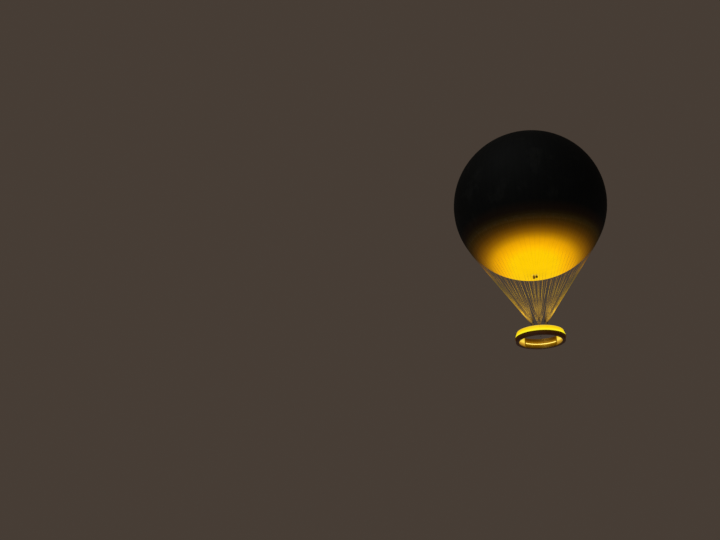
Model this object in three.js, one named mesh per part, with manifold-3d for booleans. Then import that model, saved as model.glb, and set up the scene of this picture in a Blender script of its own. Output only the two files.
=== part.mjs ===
// A tethered helium balloon: a round fabric envelope that carries a lit ring on fans of taut lines.
// Millimetres, +Z up. The origin is the middle of the envelope, where its lift acts.
// Azimuth is counted in degrees from -Y, the balloon's front, towards +X.

import * as THREE from 'three';
import { mergeVertices } from 'three/addons/utils/BufferGeometryUtils.js';
import Module from 'manifold-3d';

const wasm = await Module();
wasm.setup();

// Envelope.
const ENVELOPE_R = 11000;
const FABRIC = 10; // wall thickness
const ENVELOPE_SIDES = 64; // one corner for each suspension line
const ENVELOPE_BANDS = { belowBelt: 4, aboveBelt: 3, upperHalf: 7 };
const CROWN_HOLE_R = 330;
const BELLY_HOLE_R = 400;
const SEAT = 0.3; // gap that neighbouring solids keep

// Load belt and suspension lines.
const FANS = 8;
const LINES_PER_FAN = 8;
const LINE_R = 12;
const LINE_SIDES = 6;
const LINE_PITCH = 27; // between the feet of neighbouring lines
const BELT_SHARE = 0.16; // of the envelope's band, above and below the belt's middle
const BELT_T = 12;
const CLAMP = { across: 240, deep: 60, high: 100 };

// Lit ring, with heights counted from its underside.
const RING_Z = -20950;
const RING_SIDES = 40;
const INNER_R = 2944;
const OUTER_R = 3356;
const WALL_TOP = 1380;
const SKIRT_TOP = 550;
const PLATE_T = 12;
const PANEL_T = 16;
const PANELS = 8;
const PANEL_SIDES = RING_SIDES / PANELS;
const PANEL_GAP_DEG = 0.1;
const CURB = { r0: 2970, r1: 2984, top: 90 };
const LEDGE_R = 3475;
const GLOW = { r0: 3440, r1: 3466, top: 1350, lean: 286 };
const DECK = { r0: 2978, r1: 3322, top: 512 };
const RIBS = { r0: 3000, r1: 3343, t: 14 };
const STRIP = { t: 15, low: 570, high: 660, span: 89.8 };
const LAMPS = { count: 40, r: 3120, bodyR: 82, sides: 8, high: 190, tray: 46, trayT: 10 };
const POST = { r0: 2985, r1: 3045, across: 80, top: 1410 };
const ARM = { low: 1080, high: 1110, r1: 3235, across: 50 };
const MIST_PIPES = { innerR: 3080, outerR: 3200, tubeR: 22, sides: 6 };

// Load ring, hangers, bridle and swivel.
const LOAD_R = 1150;
const CLAMP_Z = RING_Z + 2750;
const LOAD_RING_Z = CLAMP_Z - 130;
const LOAD_TUBE_R = 38;
const LOAD_TUBE_SIDES = 8;
const LUG = { deep: 90, across: 130, drop: 70 };
const HANGER = { rodR: 13, fitting: 64 };
const BRIDLE = { rodR: 15, fitting: 56 };
const HUB = { r: 110, bore: 32, low: RING_Z + 850, high: RING_Z + 990 };
const SWIVEL = { stemR: 30, collarR: 72, collarT: 30, bodyR: 82, bodyHigh: 120, run: 0.5, under: 6 };
const FORK = { gapHalf: 33, ear: 24, width: 100, pinDrop: 64, below: 45 };
const LINK = { half: 25, width: 110, length: 300, pinR: 20, boreR: 20.6, eyeR: 32 };
const ROUND_SIDES = 16;

// Crown and belly fittings.
const CROWN = { brimR: 450, t: 14, portR: 210, seatR: 275, seatHigh: 6 };
const CROWN_LID = { r: 262, t: 26, knobR: 70, knobHigh: 34 };
const BELLY = { brimR: 520, t: 15, portR: 118 };
const NECK = { r: 130, high: 180, flangeR: 165, flangeT: 12 };
const FIT_X = 186; // the blower and the relief valve hang side by side, at -X and +X
const BLOWER = { r: 165, wall: 14, high: 322, motorR: 55, motorHigh: 130, armT: 16, armHigh: 40 };
const ROTOR = { hubR: 46, hubHigh: 50, bladeR: 140, bladeT: 6, chord: 60, blades: 6, pitch: 32, clear: 5 };
const SHAFT = { r: 12, bore: 12.6, high: 34, endGap: 4 };
const RELIEF = { r: 165, wall: 30, high: 190, lidR: 160, lidT: 22, stemR: 11, stemHigh: 185 };
const GUIDE = { r: 24, bore: 11.8, high: 50, armT: 16, drop: 40 };

const FABRIC_BLACK = { color: 0x161614, roughness: 0.6, metalness: 0 };
const STEEL = { color: 0x85878a, roughness: 0.4, metalness: 1 };
const DARK_PAINT = { color: 0x17120c, roughness: 0.5, metalness: 0.2 };
const GOLD_METAL = { color: 0xb08a2a, roughness: 0.3, metalness: 1 };
const LIT_PANEL = { color: 0xffd21e, roughness: 0.4, metalness: 0 };
const ALUMINIUM = { color: 0xb4b6b8, roughness: 0.4, metalness: 1 };
const ROPE = { color: 0xb9a06a, roughness: 0.8, metalness: 0 };

const balloon = new THREE.Group();

function place(name, geometry, finish) {
  const mesh = new THREE.Mesh(geometry, new THREE.MeshStandardMaterial(finish));
  mesh.name = name;
  balloon.add(mesh);
}

const radians = THREE.MathUtils.degToRad;

// A point at a radius, an azimuth and a height.
function polar(radius, azimuthDeg, z) {
  const a = radians(azimuthDeg);
  return new THREE.Vector3(radius * Math.sin(a), -radius * Math.cos(a), z);
}

// Turns a shape that was made at the front, azimuth 0, to another azimuth.
function turned(geometry, azimuthDeg) {
  return geometry.rotateZ(radians(azimuthDeg));
}

// A solid of revolution. The profile's [radius, z] points run up its outer side and down its inner side.
function turnedSolid(profile, sides) {
  const closed = profile[0][0] === 0 ? profile : [...profile, profile[0]];
  const points = closed.map(([r, z]) => new THREE.Vector2(r, z));
  return new THREE.LatheGeometry(points, sides).rotateX(Math.PI / 2);
}

// A box given by its middle, with its sides along the radius, the tangent and Z at the front.
function block(radius, z, deep, across, high) {
  return new THREE.BoxGeometry(across, deep, high).translate(0, -radius, z);
}

// A straight round bar between two points. Two of its corners lie along the facing direction.
function bar(from, to, radius, sides, facing) {
  const along = to.clone().sub(from);
  const y = along.clone().normalize();
  const x = new THREE.Vector3().crossVectors(y, facing).normalize();
  const z = new THREE.Vector3().crossVectors(x, y);
  const middle = from.clone().add(to).multiplyScalar(0.5);
  return new THREE.CylinderGeometry(radius, radius, along.length(), sides)
    .applyMatrix4(new THREE.Matrix4().makeBasis(x, y, z)).translate(middle.x, middle.y, middle.z);
}

const SIDEWAYS = new THREE.Vector3(1, 0, 0);
const UP = new THREE.Vector3(0, 0, 1);

// An upright round bar.
function upright(x, y, low, high, radius, sides = ROUND_SIDES) {
  return bar(new THREE.Vector3(x, y, low), new THREE.Vector3(x, y, high), radius, sides, SIDEWAYS);
}

// A closed geometry as a solid that can be joined and cut.
function solid(geometry) {
  const bare = geometry.clone();
  bare.deleteAttribute('normal');
  bare.deleteAttribute('uv');
  const merged = mergeVertices(bare, 0.001);
  return new wasm.Manifold(new wasm.Mesh({
    numProp: 3,
    vertProperties: Float32Array.from(merged.attributes.position.array),
    triVerts: Uint32Array.from(merged.index.array),
  }));
}

function join(first, ...others) {
  return others.reduce((sum, other) => sum.add(solid(other)), solid(first));
}

function cut(from, ...tools) {
  return tools.reduce((rest, tool) => rest.subtract(solid(tool)), from);
}

function geometryOf(joined) {
  const mesh = joined.getMesh();
  const geometry = new THREE.BufferGeometry();
  geometry.setAttribute('position', new THREE.BufferAttribute(mesh.vertProperties, mesh.numProp));
  geometry.setIndex(new THREE.BufferAttribute(mesh.triVerts, 1));
  return geometry;
}

// An upright wall over part of a circle, with its middle at an azimuth.
function sector(r0, r1, low, high, middleDeg, spanDeg, sides) {
  const start = radians(middleDeg - 90 - spanDeg / 2);
  const end = radians(middleDeg - 90 + spanDeg / 2);
  const outline = new THREE.Shape();
  outline.absarc(0, 0, r1, start, end, false);
  outline.absarc(0, 0, r0, end, start, true);
  // An arc is drawn with two sides for each of the curve's segments.
  const extrusion = { depth: high - low, bevelEnabled: false, curveSegments: sides / 2 };
  return new THREE.ExtrudeGeometry(outline, extrusion).translate(0, 0, low);
}

// Leans a wall inwards as it rises.
function leaned(geometry, low, high, lean) {
  const position = geometry.attributes.position;
  for (let i = 0; i < position.count; i += 1) {
    const x = position.getX(i);
    const y = position.getY(i);
    const shrink = 1 - (lean * (position.getZ(i) - low)) / (high - low) / Math.hypot(x, y);
    position.setXY(i, x * shrink, y * shrink);
  }
  return geometry;
}

// The polar angle, from the bottom, at which a line from a foot touches a sphere on a meridian.
function tangentAngle(foot, azimuthDeg, radius) {
  const outward = polar(1, azimuthDeg, 0);
  const across = foot.x * outward.x + foot.y * outward.y;
  return Math.atan2(across, -foot.z) + Math.acos(radius / Math.hypot(across, foot.z));
}

// Where a line of the front fan starts in its clamp and where it touches the belt, counted from the middle.
const TOUCH_R = ENVELOPE_R + SEAT + BELT_T + SEAT + LINE_R;
function lineEnds(step) {
  const foot = new THREE.Vector3(step * LINE_PITCH, -LOAD_R, CLAMP_Z);
  const meridian = (step * 360) / (FANS * LINES_PER_FAN);
  const angle = tangentAngle(foot, meridian, TOUCH_R);
  return { foot, touch: polar(TOUCH_R * Math.sin(angle), meridian, -TOUCH_R * Math.cos(angle)), angle };
}

const OUTER_STEP = (LINES_PER_FAN - 1) / 2;
const BELT_ANGLE = lineEnds(OUTER_STEP).angle;

// The envelope's corners from belly to crown, as polar angles from the bottom, one at the belt's middle.
function envelopeAngles() {
  const low = Math.asin(BELLY_HOLE_R / ENVELOPE_R);
  const high = Math.PI - Math.asin(CROWN_HOLE_R / ENVELOPE_R);
  const angles = [low];
  const add = (to, bands) => {
    const from = angles[angles.length - 1];
    for (let i = 1; i <= bands; i += 1) angles.push(from + ((to - from) * i) / bands);
  };
  add(BELT_ANGLE, ENVELOPE_BANDS.belowBelt);
  add(Math.PI / 2, ENVELOPE_BANDS.aboveBelt);
  add(high, ENVELOPE_BANDS.upperHalf);
  return { angles, belt: ENVELOPE_BANDS.belowBelt };
}

const envelope = envelopeAngles();
const onSphere = (radius, angle) => [radius * Math.sin(angle), -radius * Math.cos(angle)];
const halfSide = 180 / ENVELOPE_SIDES;

function buildEnvelope() {
  const outside = envelope.angles.map((a) => onSphere(ENVELOPE_R, a));
  const inside = envelope.angles.map((a) => onSphere(ENVELOPE_R - FABRIC, a)).reverse();
  return turned(turnedSolid([...outside, ...inside], ENVELOPE_SIDES), halfSide);
}

// A band of doubled fabric that lies on the envelope where the lines leave it.
function buildLoadBelt() {
  const corner = (radius, index, share) => {
    const [r0, z0] = onSphere(radius, envelope.angles[envelope.belt]);
    const [r1, z1] = onSphere(radius, envelope.angles[index]);
    return [r0 + (r1 - r0) * share, z0 + (z1 - z0) * share];
  };
  const side = (radius) => [
    corner(radius, envelope.belt - 1, BELT_SHARE),
    onSphere(radius, BELT_ANGLE),
    corner(radius, envelope.belt + 1, BELT_SHARE),
  ];
  const outer = side(ENVELOPE_R + SEAT + BELT_T);
  const inner = side(ENVELOPE_R + SEAT * 2).reverse();
  return turned(turnedSolid([...outer, ...inner], ENVELOPE_SIDES), halfSide);
}

// The front fan: its lines spread over an eighth of the belt and meet in a clamp on the load ring.
function buildFan() {
  const lines = [];
  for (let step = -OUTER_STEP; step <= OUTER_STEP; step += 1) {
    const { foot, touch } = lineEnds(step);
    lines.push(bar(foot, touch, LINE_R, LINE_SIDES, touch));
  }
  const clamp = block(LOAD_R, CLAMP_Z, CLAMP.deep, CLAMP.across, CLAMP.high);
  return geometryOf(join(clamp, ...lines));
}

function buildLoadRing() {
  const hoop = new THREE.TorusGeometry(LOAD_R, LOAD_TUBE_R, LOAD_TUBE_SIDES, RING_SIDES)
    .translate(0, 0, LOAD_RING_Z);
  const lugTop = CLAMP_Z - CLAMP.high / 2 - SEAT;
  const lugLow = LOAD_RING_Z - LUG.drop;
  const lugs = [];
  for (let i = 0; i < FANS; i += 1) {
    const lug = block(LOAD_R, (lugTop + lugLow) / 2, LUG.deep, LUG.across, lugTop - lugLow);
    lugs.push(turned(lug, (i * 360) / FANS));
  }
  return geometryOf(join(hoop, ...lugs));
}

// The front hanger, from a lug of the load ring down to a post of the lit ring.
function buildHanger() {
  const half = HANGER.fitting / 2;
  const topZ = LOAD_RING_Z - LUG.drop - SEAT - half;
  const lowZ = RING_Z + POST.top + SEAT + half;
  const postR = (POST.r0 + POST.r1) / 2;
  const rod = bar(polar(LOAD_R, 0, topZ), polar(postR, 0, lowZ), HANGER.rodR, LINE_SIDES, UP);
  const top = block(LOAD_R, topZ, HANGER.fitting, HANGER.fitting, HANGER.fitting);
  const low = block(postR, lowZ, HANGER.fitting, HANGER.fitting, HANGER.fitting);
  return geometryOf(join(rod, top, low));
}

// The legs that take the lift from the load ring to the hub, which holds the swivel.
function buildBridle() {
  const hub = upright(0, 0, HUB.low, HUB.high, HUB.r);
  const footR = LOAD_R - LUG.deep / 2 - SEAT - BRIDLE.fitting / 2;
  const hubR = HUB.r - BRIDLE.rodR * 2;
  const hubZ = (HUB.low + HUB.high) / 2;
  const legs = [];
  for (let i = 0; i < FANS; i += 1) {
    const azimuth = (i * 360) / FANS;
    const rod = bar(polar(footR, 0, LOAD_RING_Z), polar(hubR, 0, hubZ), BRIDLE.rodR, LINE_SIDES, UP);
    const fitting = block(footR, LOAD_RING_Z, BRIDLE.fitting, BRIDLE.fitting, BRIDLE.fitting);
    legs.push(turned(rod, azimuth), turned(fitting, azimuth));
  }
  const bore = upright(0, 0, HUB.low - PLATE_T, HUB.high + PLATE_T, HUB.bore);
  return geometryOf(cut(join(hub, ...legs), bore));
}

const bodyTop = HUB.low - SWIVEL.under;
const bodyLow = bodyTop - SWIVEL.bodyHigh;
const PIN_Z = bodyLow - FORK.pinDrop;

// The swivel turns in the hub, hangs on its collar and ends in a fork with a cross pin.
function buildSwivel() {
  const collarLow = HUB.high + SWIVEL.run;
  const spindle = turnedSolid([
    [0, bodyLow],
    [SWIVEL.bodyR, bodyLow],
    [SWIVEL.bodyR, bodyTop],
    [SWIVEL.stemR, bodyTop],
    [SWIVEL.stemR, collarLow],
    [SWIVEL.collarR, collarLow],
    [SWIVEL.collarR, collarLow + SWIVEL.collarT],
    [0, collarLow + SWIVEL.collarT],
  ], ROUND_SIDES);
  const earLow = PIN_Z - FORK.below;
  const earX = FORK.gapHalf + FORK.ear / 2;
  const ear = (x) => new THREE.BoxGeometry(FORK.ear, FORK.width, bodyLow + PLATE_T - earLow)
    .translate(x, 0, (bodyLow + PLATE_T + earLow) / 2);
  const pinEnd = FORK.gapHalf + FORK.ear + PLATE_T;
  const from = new THREE.Vector3(-pinEnd, 0, PIN_Z);
  const to = new THREE.Vector3(pinEnd, 0, PIN_Z);
  return geometryOf(join(spindle, ear(-earX), ear(earX), bar(from, to, LINK.pinR, ROUND_SIDES, UP)));
}

// The flat link on the fork's pin, with the eye that takes the tether's shackle.
function buildTetherLink() {
  const half = LINK.width / 2;
  const outline = new THREE.Shape();
  outline.absarc(0, 0, half, 0, Math.PI, false);
  outline.absarc(0, -LINK.length, half, Math.PI, 2 * Math.PI, false);
  const hole = (y, radius) => {
    const ring = new THREE.Path();
    ring.absarc(0, y, radius, 0, 2 * Math.PI, true);
    outline.holes.push(ring);
  };
  hole(0, LINK.boreR);
  hole(-LINK.length, LINK.eyeR);
  const depth = LINK.half * 2;
  return new THREE.ExtrudeGeometry(outline, { depth, bevelEnabled: false, curveSegments: ROUND_SIDES / 2 })
    .translate(0, 0, -LINK.half).rotateX(Math.PI / 2).rotateZ(Math.PI / 2).translate(0, 0, PIN_Z);
}

// The ring's trough: its underside, its outer skirt, the ledge for the glow panels and cross ribs.
function buildRingTrough() {
  const trough = turnedSolid([
    [INNER_R, RING_Z],
    [OUTER_R, RING_Z],
    [OUTER_R, RING_Z + SKIRT_TOP - PLATE_T],
    [LEDGE_R, RING_Z + SKIRT_TOP - PLATE_T],
    [LEDGE_R, RING_Z + SKIRT_TOP],
    [OUTER_R - PLATE_T, RING_Z + SKIRT_TOP],
    [OUTER_R - PLATE_T, RING_Z + PLATE_T],
    [CURB.r1, RING_Z + PLATE_T],
    [CURB.r1, RING_Z + CURB.top],
    [CURB.r0, RING_Z + CURB.top],
    [CURB.r0, RING_Z + PLATE_T],
    [INNER_R, RING_Z + PLATE_T],
  ], RING_SIDES);
  const ribLow = RING_Z + PLATE_T / 2;
  const ribTop = RING_Z + DECK.top - PLATE_T - SEAT;
  const ribs = [];
  for (let i = 0; i < PANELS; i += 1) {
    const ribR = (RIBS.r0 + RIBS.r1) / 2;
    const rib = block(ribR, (ribLow + ribTop) / 2, RIBS.r1 - RIBS.r0, RIBS.t, ribTop - ribLow);
    ribs.push(turned(rib, (i * 360) / PANELS));
  }
  return geometryOf(join(trough, ...ribs));
}

const panelSpan = 360 / PANELS - PANEL_GAP_DEG;
const panelMiddle = (index) => ((index + 0.5) * 360) / PANELS;

function buildInnerPanel(index) {
  const low = RING_Z + PLATE_T + SEAT;
  const high = RING_Z + WALL_TOP;
  return sector(INNER_R, INNER_R + PANEL_T, low, high, panelMiddle(index), panelSpan, PANEL_SIDES);
}

function buildGlowPanel(index) {
  const low = RING_Z + SKIRT_TOP + SEAT;
  const high = RING_Z + GLOW.top;
  const wall = sector(GLOW.r0, GLOW.r1, low, high, panelMiddle(index), panelSpan, PANEL_SIDES);
  return leaned(wall, low, high, GLOW.lean);
}

// A light strip on the inner wall, over the two panels at the front or the back.
function buildLightStrip(middle) {
  const r1 = INNER_R - SEAT * 2;
  const sides = (2 * 360) / PANELS / (360 / RING_SIDES);
  return sector(r1 - STRIP.t, r1, RING_Z + STRIP.low, RING_Z + STRIP.high, middle, STRIP.span, sides);
}

// The deck that stiffens the ring and carries the lamps, with the posts that the hangers hold.
function buildDeck() {
  const low = RING_Z + DECK.top - PLATE_T;
  const high = RING_Z + DECK.top;
  const plate = turnedSolid([[DECK.r0, low], [DECK.r1, low], [DECK.r1, high], [DECK.r0, high]], RING_SIDES);
  const postHigh = RING_Z + POST.top;
  const sunk = high - PLATE_T / 2;
  const posts = [];
  for (let i = 0; i < FANS; i += 1) {
    const azimuth = (i * 360) / FANS;
    const postR = (POST.r0 + POST.r1) / 2;
    const post = block(postR, (postHigh + sunk) / 2, POST.r1 - POST.r0, POST.across, postHigh - sunk);
    const armZ = RING_Z + (ARM.low + ARM.high) / 2;
    const arm = block((postR + ARM.r1) / 2, armZ, ARM.r1 - postR, ARM.across, ARM.high - ARM.low);
    posts.push(turned(post, azimuth), turned(arm, azimuth));
  }
  return geometryOf(join(plate, ...posts));
}

// Forty lamps that stand on one tray.
function buildLampRing() {
  const low = RING_Z + DECK.top + SEAT;
  const high = low + LAMPS.trayT;
  const r0 = LAMPS.r - LAMPS.tray;
  const r1 = LAMPS.r + LAMPS.tray;
  const tray = turnedSolid([[r0, low], [r1, low], [r1, high], [r0, high]], RING_SIDES);
  const lamps = [];
  for (let i = 0; i < LAMPS.count; i += 1) {
    const lamp = upright(0, -LAMPS.r, high - LAMPS.trayT / 2, high + LAMPS.high, LAMPS.bodyR, LAMPS.sides);
    lamps.push(turned(lamp, ((i + 0.5) * 360) / LAMPS.count));
  }
  return geometryOf(join(tray, ...lamps));
}

// A mist pipe that lies on the posts' arms.
function buildMistPipe(radius) {
  const flat = MIST_PIPES.tubeR * Math.cos(Math.PI / MIST_PIPES.sides);
  const z = RING_Z + ARM.high + SEAT + flat;
  return new THREE.TorusGeometry(radius, MIST_PIPES.tubeR, MIST_PIPES.sides, RING_SIDES).translate(0, 0, z);
}

const crownZ = Math.sqrt(ENVELOPE_R ** 2 - CROWN_HOLE_R ** 2);
const bellyZ = -Math.sqrt(ENVELOPE_R ** 2 - BELLY_HOLE_R ** 2);

// How far the envelope falls away from the rim of its hole at a plate's brim.
function brimDrop(holeR, brimR, rimAngle, nextAngle) {
  const [r0, z0] = onSphere(ENVELOPE_R, rimAngle);
  const [r1, z1] = onSphere(ENVELOPE_R, nextAngle);
  return (Math.abs(z1 - z0) / Math.abs(r1 - r0)) * (brimR - holeR);
}

// The plate that clamps the cloth at the crown, with a raised seat around the gas port.
function buildCrownPlate() {
  const low = crownZ + SEAT * 2;
  const [next, rim] = envelope.angles.slice(-2);
  const drop = brimDrop(CROWN_HOLE_R, CROWN.brimR, rim, next);
  return turnedSolid([
    [CROWN.portR, low],
    [CROWN_HOLE_R, low],
    [CROWN.brimR, low - drop],
    [CROWN.brimR, low - drop + CROWN.t],
    [CROWN_HOLE_R, low + CROWN.t],
    [CROWN.seatR, low + CROWN.t],
    [CROWN.seatR, low + CROWN.t + CROWN.seatHigh],
    [CROWN.portR, low + CROWN.t + CROWN.seatHigh],
  ], ENVELOPE_SIDES / 2);
}

function buildCrownLid() {
  const low = crownZ + SEAT * 3 + CROWN.t + CROWN.seatHigh;
  const high = low + CROWN_LID.t;
  return turnedSolid([
    [0, low],
    [CROWN_LID.r, low],
    [CROWN_LID.r - CROWN_LID.t / 2, high],
    [CROWN_LID.knobR, high],
    [CROWN_LID.knobR - CROWN_LID.t / 2, high + CROWN_LID.knobHigh],
    [0, high + CROWN_LID.knobHigh],
  ], ENVELOPE_SIDES / 2);
}

const bellyTop = bellyZ - SEAT * 2;
const bellyLow = bellyTop - BELLY.t;
const neckLow = bellyLow - NECK.high;

// The plate that clamps the cloth at the belly, with a flanged neck around each of its two ports.
function buildBellyPlate() {
  const [rim, next] = envelope.angles;
  const rise = brimDrop(BELLY_HOLE_R, BELLY.brimR, rim, next);
  const plate = turnedSolid([
    [0, bellyLow],
    [BELLY_HOLE_R, bellyLow],
    [BELLY.brimR, bellyLow + rise],
    [BELLY.brimR, bellyTop + rise],
    [BELLY_HOLE_R, bellyTop],
    [0, bellyTop],
  ], ENVELOPE_SIDES / 2);
  const neck = (x) => turnedSolid([
    [0, neckLow],
    [NECK.flangeR, neckLow],
    [NECK.flangeR, neckLow + NECK.flangeT],
    [NECK.r, neckLow + NECK.flangeT],
    [NECK.r, bellyTop - BELLY.t / 2],
    [0, bellyTop - BELLY.t / 2],
  ], ROUND_SIDES).translate(x, 0, 0);
  const port = (x) => upright(x, 0, neckLow - PLATE_T, bellyTop + PLATE_T, BELLY.portR);
  return geometryOf(cut(join(plate, neck(-FIT_X), neck(FIT_X)), port(-FIT_X), port(FIT_X)));
}

const hangTop = neckLow - SEAT;
const blowerLow = hangTop - BLOWER.high;
const motorLow = hangTop - BLOWER.motorHigh;

// A tube with a cross that holds something in its middle.
function crossTube(x, low, high, outerR, wall, middle, cross) {
  const tube = cut(
    solid(upright(x, 0, low, high, outerR)),
    upright(x, 0, low - PLATE_T, high + PLATE_T, outerR - wall),
  );
  const long = 2 * outerR - wall;
  const arms = [
    new THREE.BoxGeometry(long, cross.t, cross.high).translate(x, 0, cross.z),
    new THREE.BoxGeometry(cross.t, long, cross.high).translate(x, 0, cross.z),
  ];
  return [middle, ...arms].reduce((sum, piece) => sum.add(solid(piece)), tube);
}

function buildBlowerHousing() {
  const cross = { t: BLOWER.armT, high: BLOWER.armHigh, z: hangTop - BLOWER.armHigh };
  const motor = upright(-FIT_X, 0, motorLow, hangTop - BLOWER.armHigh / 2, BLOWER.motorR);
  const shaft = upright(-FIT_X, 0, motorLow - SHAFT.high, motorLow + PLATE_T, SHAFT.r);
  const housing = crossTube(-FIT_X, blowerLow, hangTop, BLOWER.r, BLOWER.wall, motor, cross);
  return geometryOf(housing.add(solid(shaft)));
}

// The rotor turns on the motor's shaft, clear of the motor's face.
function buildBlowerRotor() {
  const high = motorLow - ROTOR.clear;
  const low = high - ROTOR.hubHigh;
  const blades = [];
  for (let i = 0; i < ROTOR.blades; i += 1) {
    const long = ROTOR.bladeR - ROTOR.hubR / 2;
    const blade = new THREE.BoxGeometry(long, ROTOR.chord, ROTOR.bladeT)
      .rotateX(radians(ROTOR.pitch)).translate(ROTOR.hubR / 2 + long / 2, 0, (low + high) / 2);
    blades.push(turned(blade, (i * 360) / ROTOR.blades).translate(-FIT_X, 0, 0));
  }
  const hub = join(upright(-FIT_X, 0, low, high, ROTOR.hubR), ...blades);
  const boreLow = motorLow - SHAFT.high - SHAFT.endGap;
  return geometryOf(cut(hub, upright(-FIT_X, 0, boreLow, high + PLATE_T, SHAFT.bore)));
}

const reliefLow = hangTop - RELIEF.high;

function buildReliefBody() {
  const cross = { t: GUIDE.armT, high: GUIDE.high, z: hangTop - GUIDE.drop - GUIDE.high / 2 };
  const guide = upright(FIT_X, 0, cross.z - GUIDE.high / 2, cross.z + GUIDE.high / 2, GUIDE.r);
  const body = crossTube(FIT_X, reliefLow, hangTop, RELIEF.r, RELIEF.wall, guide, cross);
  return geometryOf(cut(body, upright(FIT_X, 0, reliefLow, hangTop, GUIDE.bore)));
}

// The relief lid closes the body from below and slides down on its stem.
function buildReliefLid() {
  const high = reliefLow - SEAT;
  const lid = upright(FIT_X, 0, high - RELIEF.lidT, high, RELIEF.lidR);
  const stem = upright(FIT_X, 0, high - RELIEF.lidT / 2, high + RELIEF.stemHigh, RELIEF.stemR);
  return geometryOf(join(lid, stem));
}

place('envelope', buildEnvelope(), FABRIC_BLACK);
place('load_belt', buildLoadBelt(), FABRIC_BLACK);
place('crown_plate', buildCrownPlate(), ALUMINIUM);
place('crown_valve_lid', buildCrownLid(), ALUMINIUM);
place('belly_plate', buildBellyPlate(), ALUMINIUM);
place('blower_housing', buildBlowerHousing(), DARK_PAINT);
place('blower_rotor', buildBlowerRotor(), ALUMINIUM);
place('relief_valve_body', buildReliefBody(), DARK_PAINT);
place('relief_valve_lid', buildReliefLid(), DARK_PAINT);
const fan = buildFan();
const hanger = buildHanger();
for (let i = 0; i < FANS; i += 1) {
  const azimuth = (i * 360) / FANS;
  place(`suspension_fan_${i + 1}`, turned(fan.clone(), azimuth), ROPE);
  place(`hanger_${i + 1}`, turned(hanger.clone(), azimuth), STEEL);
}
place('load_ring', buildLoadRing(), STEEL);
place('bridle', buildBridle(), STEEL);
place('swivel', buildSwivel(), STEEL);
place('tether_link', buildTetherLink(), STEEL);
place('ring_trough', buildRingTrough(), DARK_PAINT);
place('lamp_deck', buildDeck(), DARK_PAINT);
place('lamp_ring', buildLampRing(), DARK_PAINT);
place('mist_pipe_inner', buildMistPipe(MIST_PIPES.innerR), STEEL);
place('mist_pipe_outer', buildMistPipe(MIST_PIPES.outerR), STEEL);
for (let i = 0; i < PANELS; i += 1) {
  // The four panels at the sides are lit all over, and the four at the front and back are plain metal.
  const aside = Math.abs(Math.sin(radians(panelMiddle(i)))) > Math.SQRT1_2;
  place(`inner_panel_${i + 1}`, buildInnerPanel(i), aside ? LIT_PANEL : GOLD_METAL);
  place(`glow_panel_${i + 1}`, buildGlowPanel(i), LIT_PANEL);
}
place('light_strip_front', buildLightStrip(0), LIT_PANEL);
place('light_strip_back', buildLightStrip(180), LIT_PANEL);

export default balloon;
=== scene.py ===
# %% [markdown]
# # A round helium balloon with a lit ring
# The real object is a round balloon, 22 metres across, that flies at dusk and is held from below.
# Sixty-four taut lines leave a belt below its middle, come together on a small load ring and carry a lit
# ring under it.
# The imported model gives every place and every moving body. This lesson dresses it, piece by piece.

# %% Load the frame
import math
import bmesh
import bpy
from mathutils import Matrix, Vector


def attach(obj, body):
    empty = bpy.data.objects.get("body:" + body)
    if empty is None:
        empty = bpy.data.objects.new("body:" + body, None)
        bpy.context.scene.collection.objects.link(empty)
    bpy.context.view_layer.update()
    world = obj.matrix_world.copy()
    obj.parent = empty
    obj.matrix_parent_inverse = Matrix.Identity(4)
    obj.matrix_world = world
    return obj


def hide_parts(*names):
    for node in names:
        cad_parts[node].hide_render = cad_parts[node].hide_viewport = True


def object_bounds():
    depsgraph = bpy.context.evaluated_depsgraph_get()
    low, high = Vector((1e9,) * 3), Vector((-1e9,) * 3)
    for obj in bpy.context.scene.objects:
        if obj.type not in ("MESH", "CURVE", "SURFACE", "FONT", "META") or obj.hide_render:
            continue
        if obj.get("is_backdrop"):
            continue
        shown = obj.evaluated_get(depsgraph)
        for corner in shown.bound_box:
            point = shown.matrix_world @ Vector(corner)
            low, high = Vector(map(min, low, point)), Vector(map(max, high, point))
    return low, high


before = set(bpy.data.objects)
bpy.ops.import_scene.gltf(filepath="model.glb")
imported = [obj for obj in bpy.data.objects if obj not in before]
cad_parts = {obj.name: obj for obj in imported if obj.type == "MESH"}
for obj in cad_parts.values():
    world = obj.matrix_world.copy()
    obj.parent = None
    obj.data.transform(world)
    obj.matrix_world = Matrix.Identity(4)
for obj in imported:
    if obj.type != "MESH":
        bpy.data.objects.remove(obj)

cad_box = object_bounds()
print("the frame's box:", [round(high - low, 2) for low, high in zip(*cad_box)])

# %% [markdown]
# ## Camera, floor and light
# The balloon is seen from the ground, 117 metres away, so the camera looks up by 23 degrees. A long pale
# floor lies below it. One wide sun works as a large soft lamp, and an even grey backdrop fills the shadows.
# The balloon's own lamps are at their brightest against such a dim grey.

# %% Camera
LENS_PX = 872.5
FRAME_PX = 720
PITCH_UP = 23.2
TURN = 12.29
bpy.ops.object.camera_add(location=(0, -116.67, -59.08))
camera = bpy.context.object
camera.rotation_euler = (math.radians(90 + PITCH_UP), 0, math.radians(TURN))
camera.data.sensor_fit = "HORIZONTAL"
camera.data.lens = camera.data.sensor_width * LENS_PX / FRAME_PX
camera.data.clip_end = 6000
bpy.context.scene.camera = camera
bpy.context.scene.view_settings.view_transform = "Standard"
print("lens in mm:", round(camera.data.lens, 2))

# %% Light and backdrop
bpy.ops.object.light_add(type="SUN", rotation=(math.radians(38), math.radians(-24), 0))
sun = bpy.context.object
sun.data.energy = 1.4
sun.data.angle = math.radians(40)
world = bpy.data.worlds.new("even_grey")
world.use_nodes = True
world.node_tree.nodes["Background"].inputs["Color"].default_value = (0.063, 0.047, 0.036, 1)
bpy.context.scene.world = world

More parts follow.
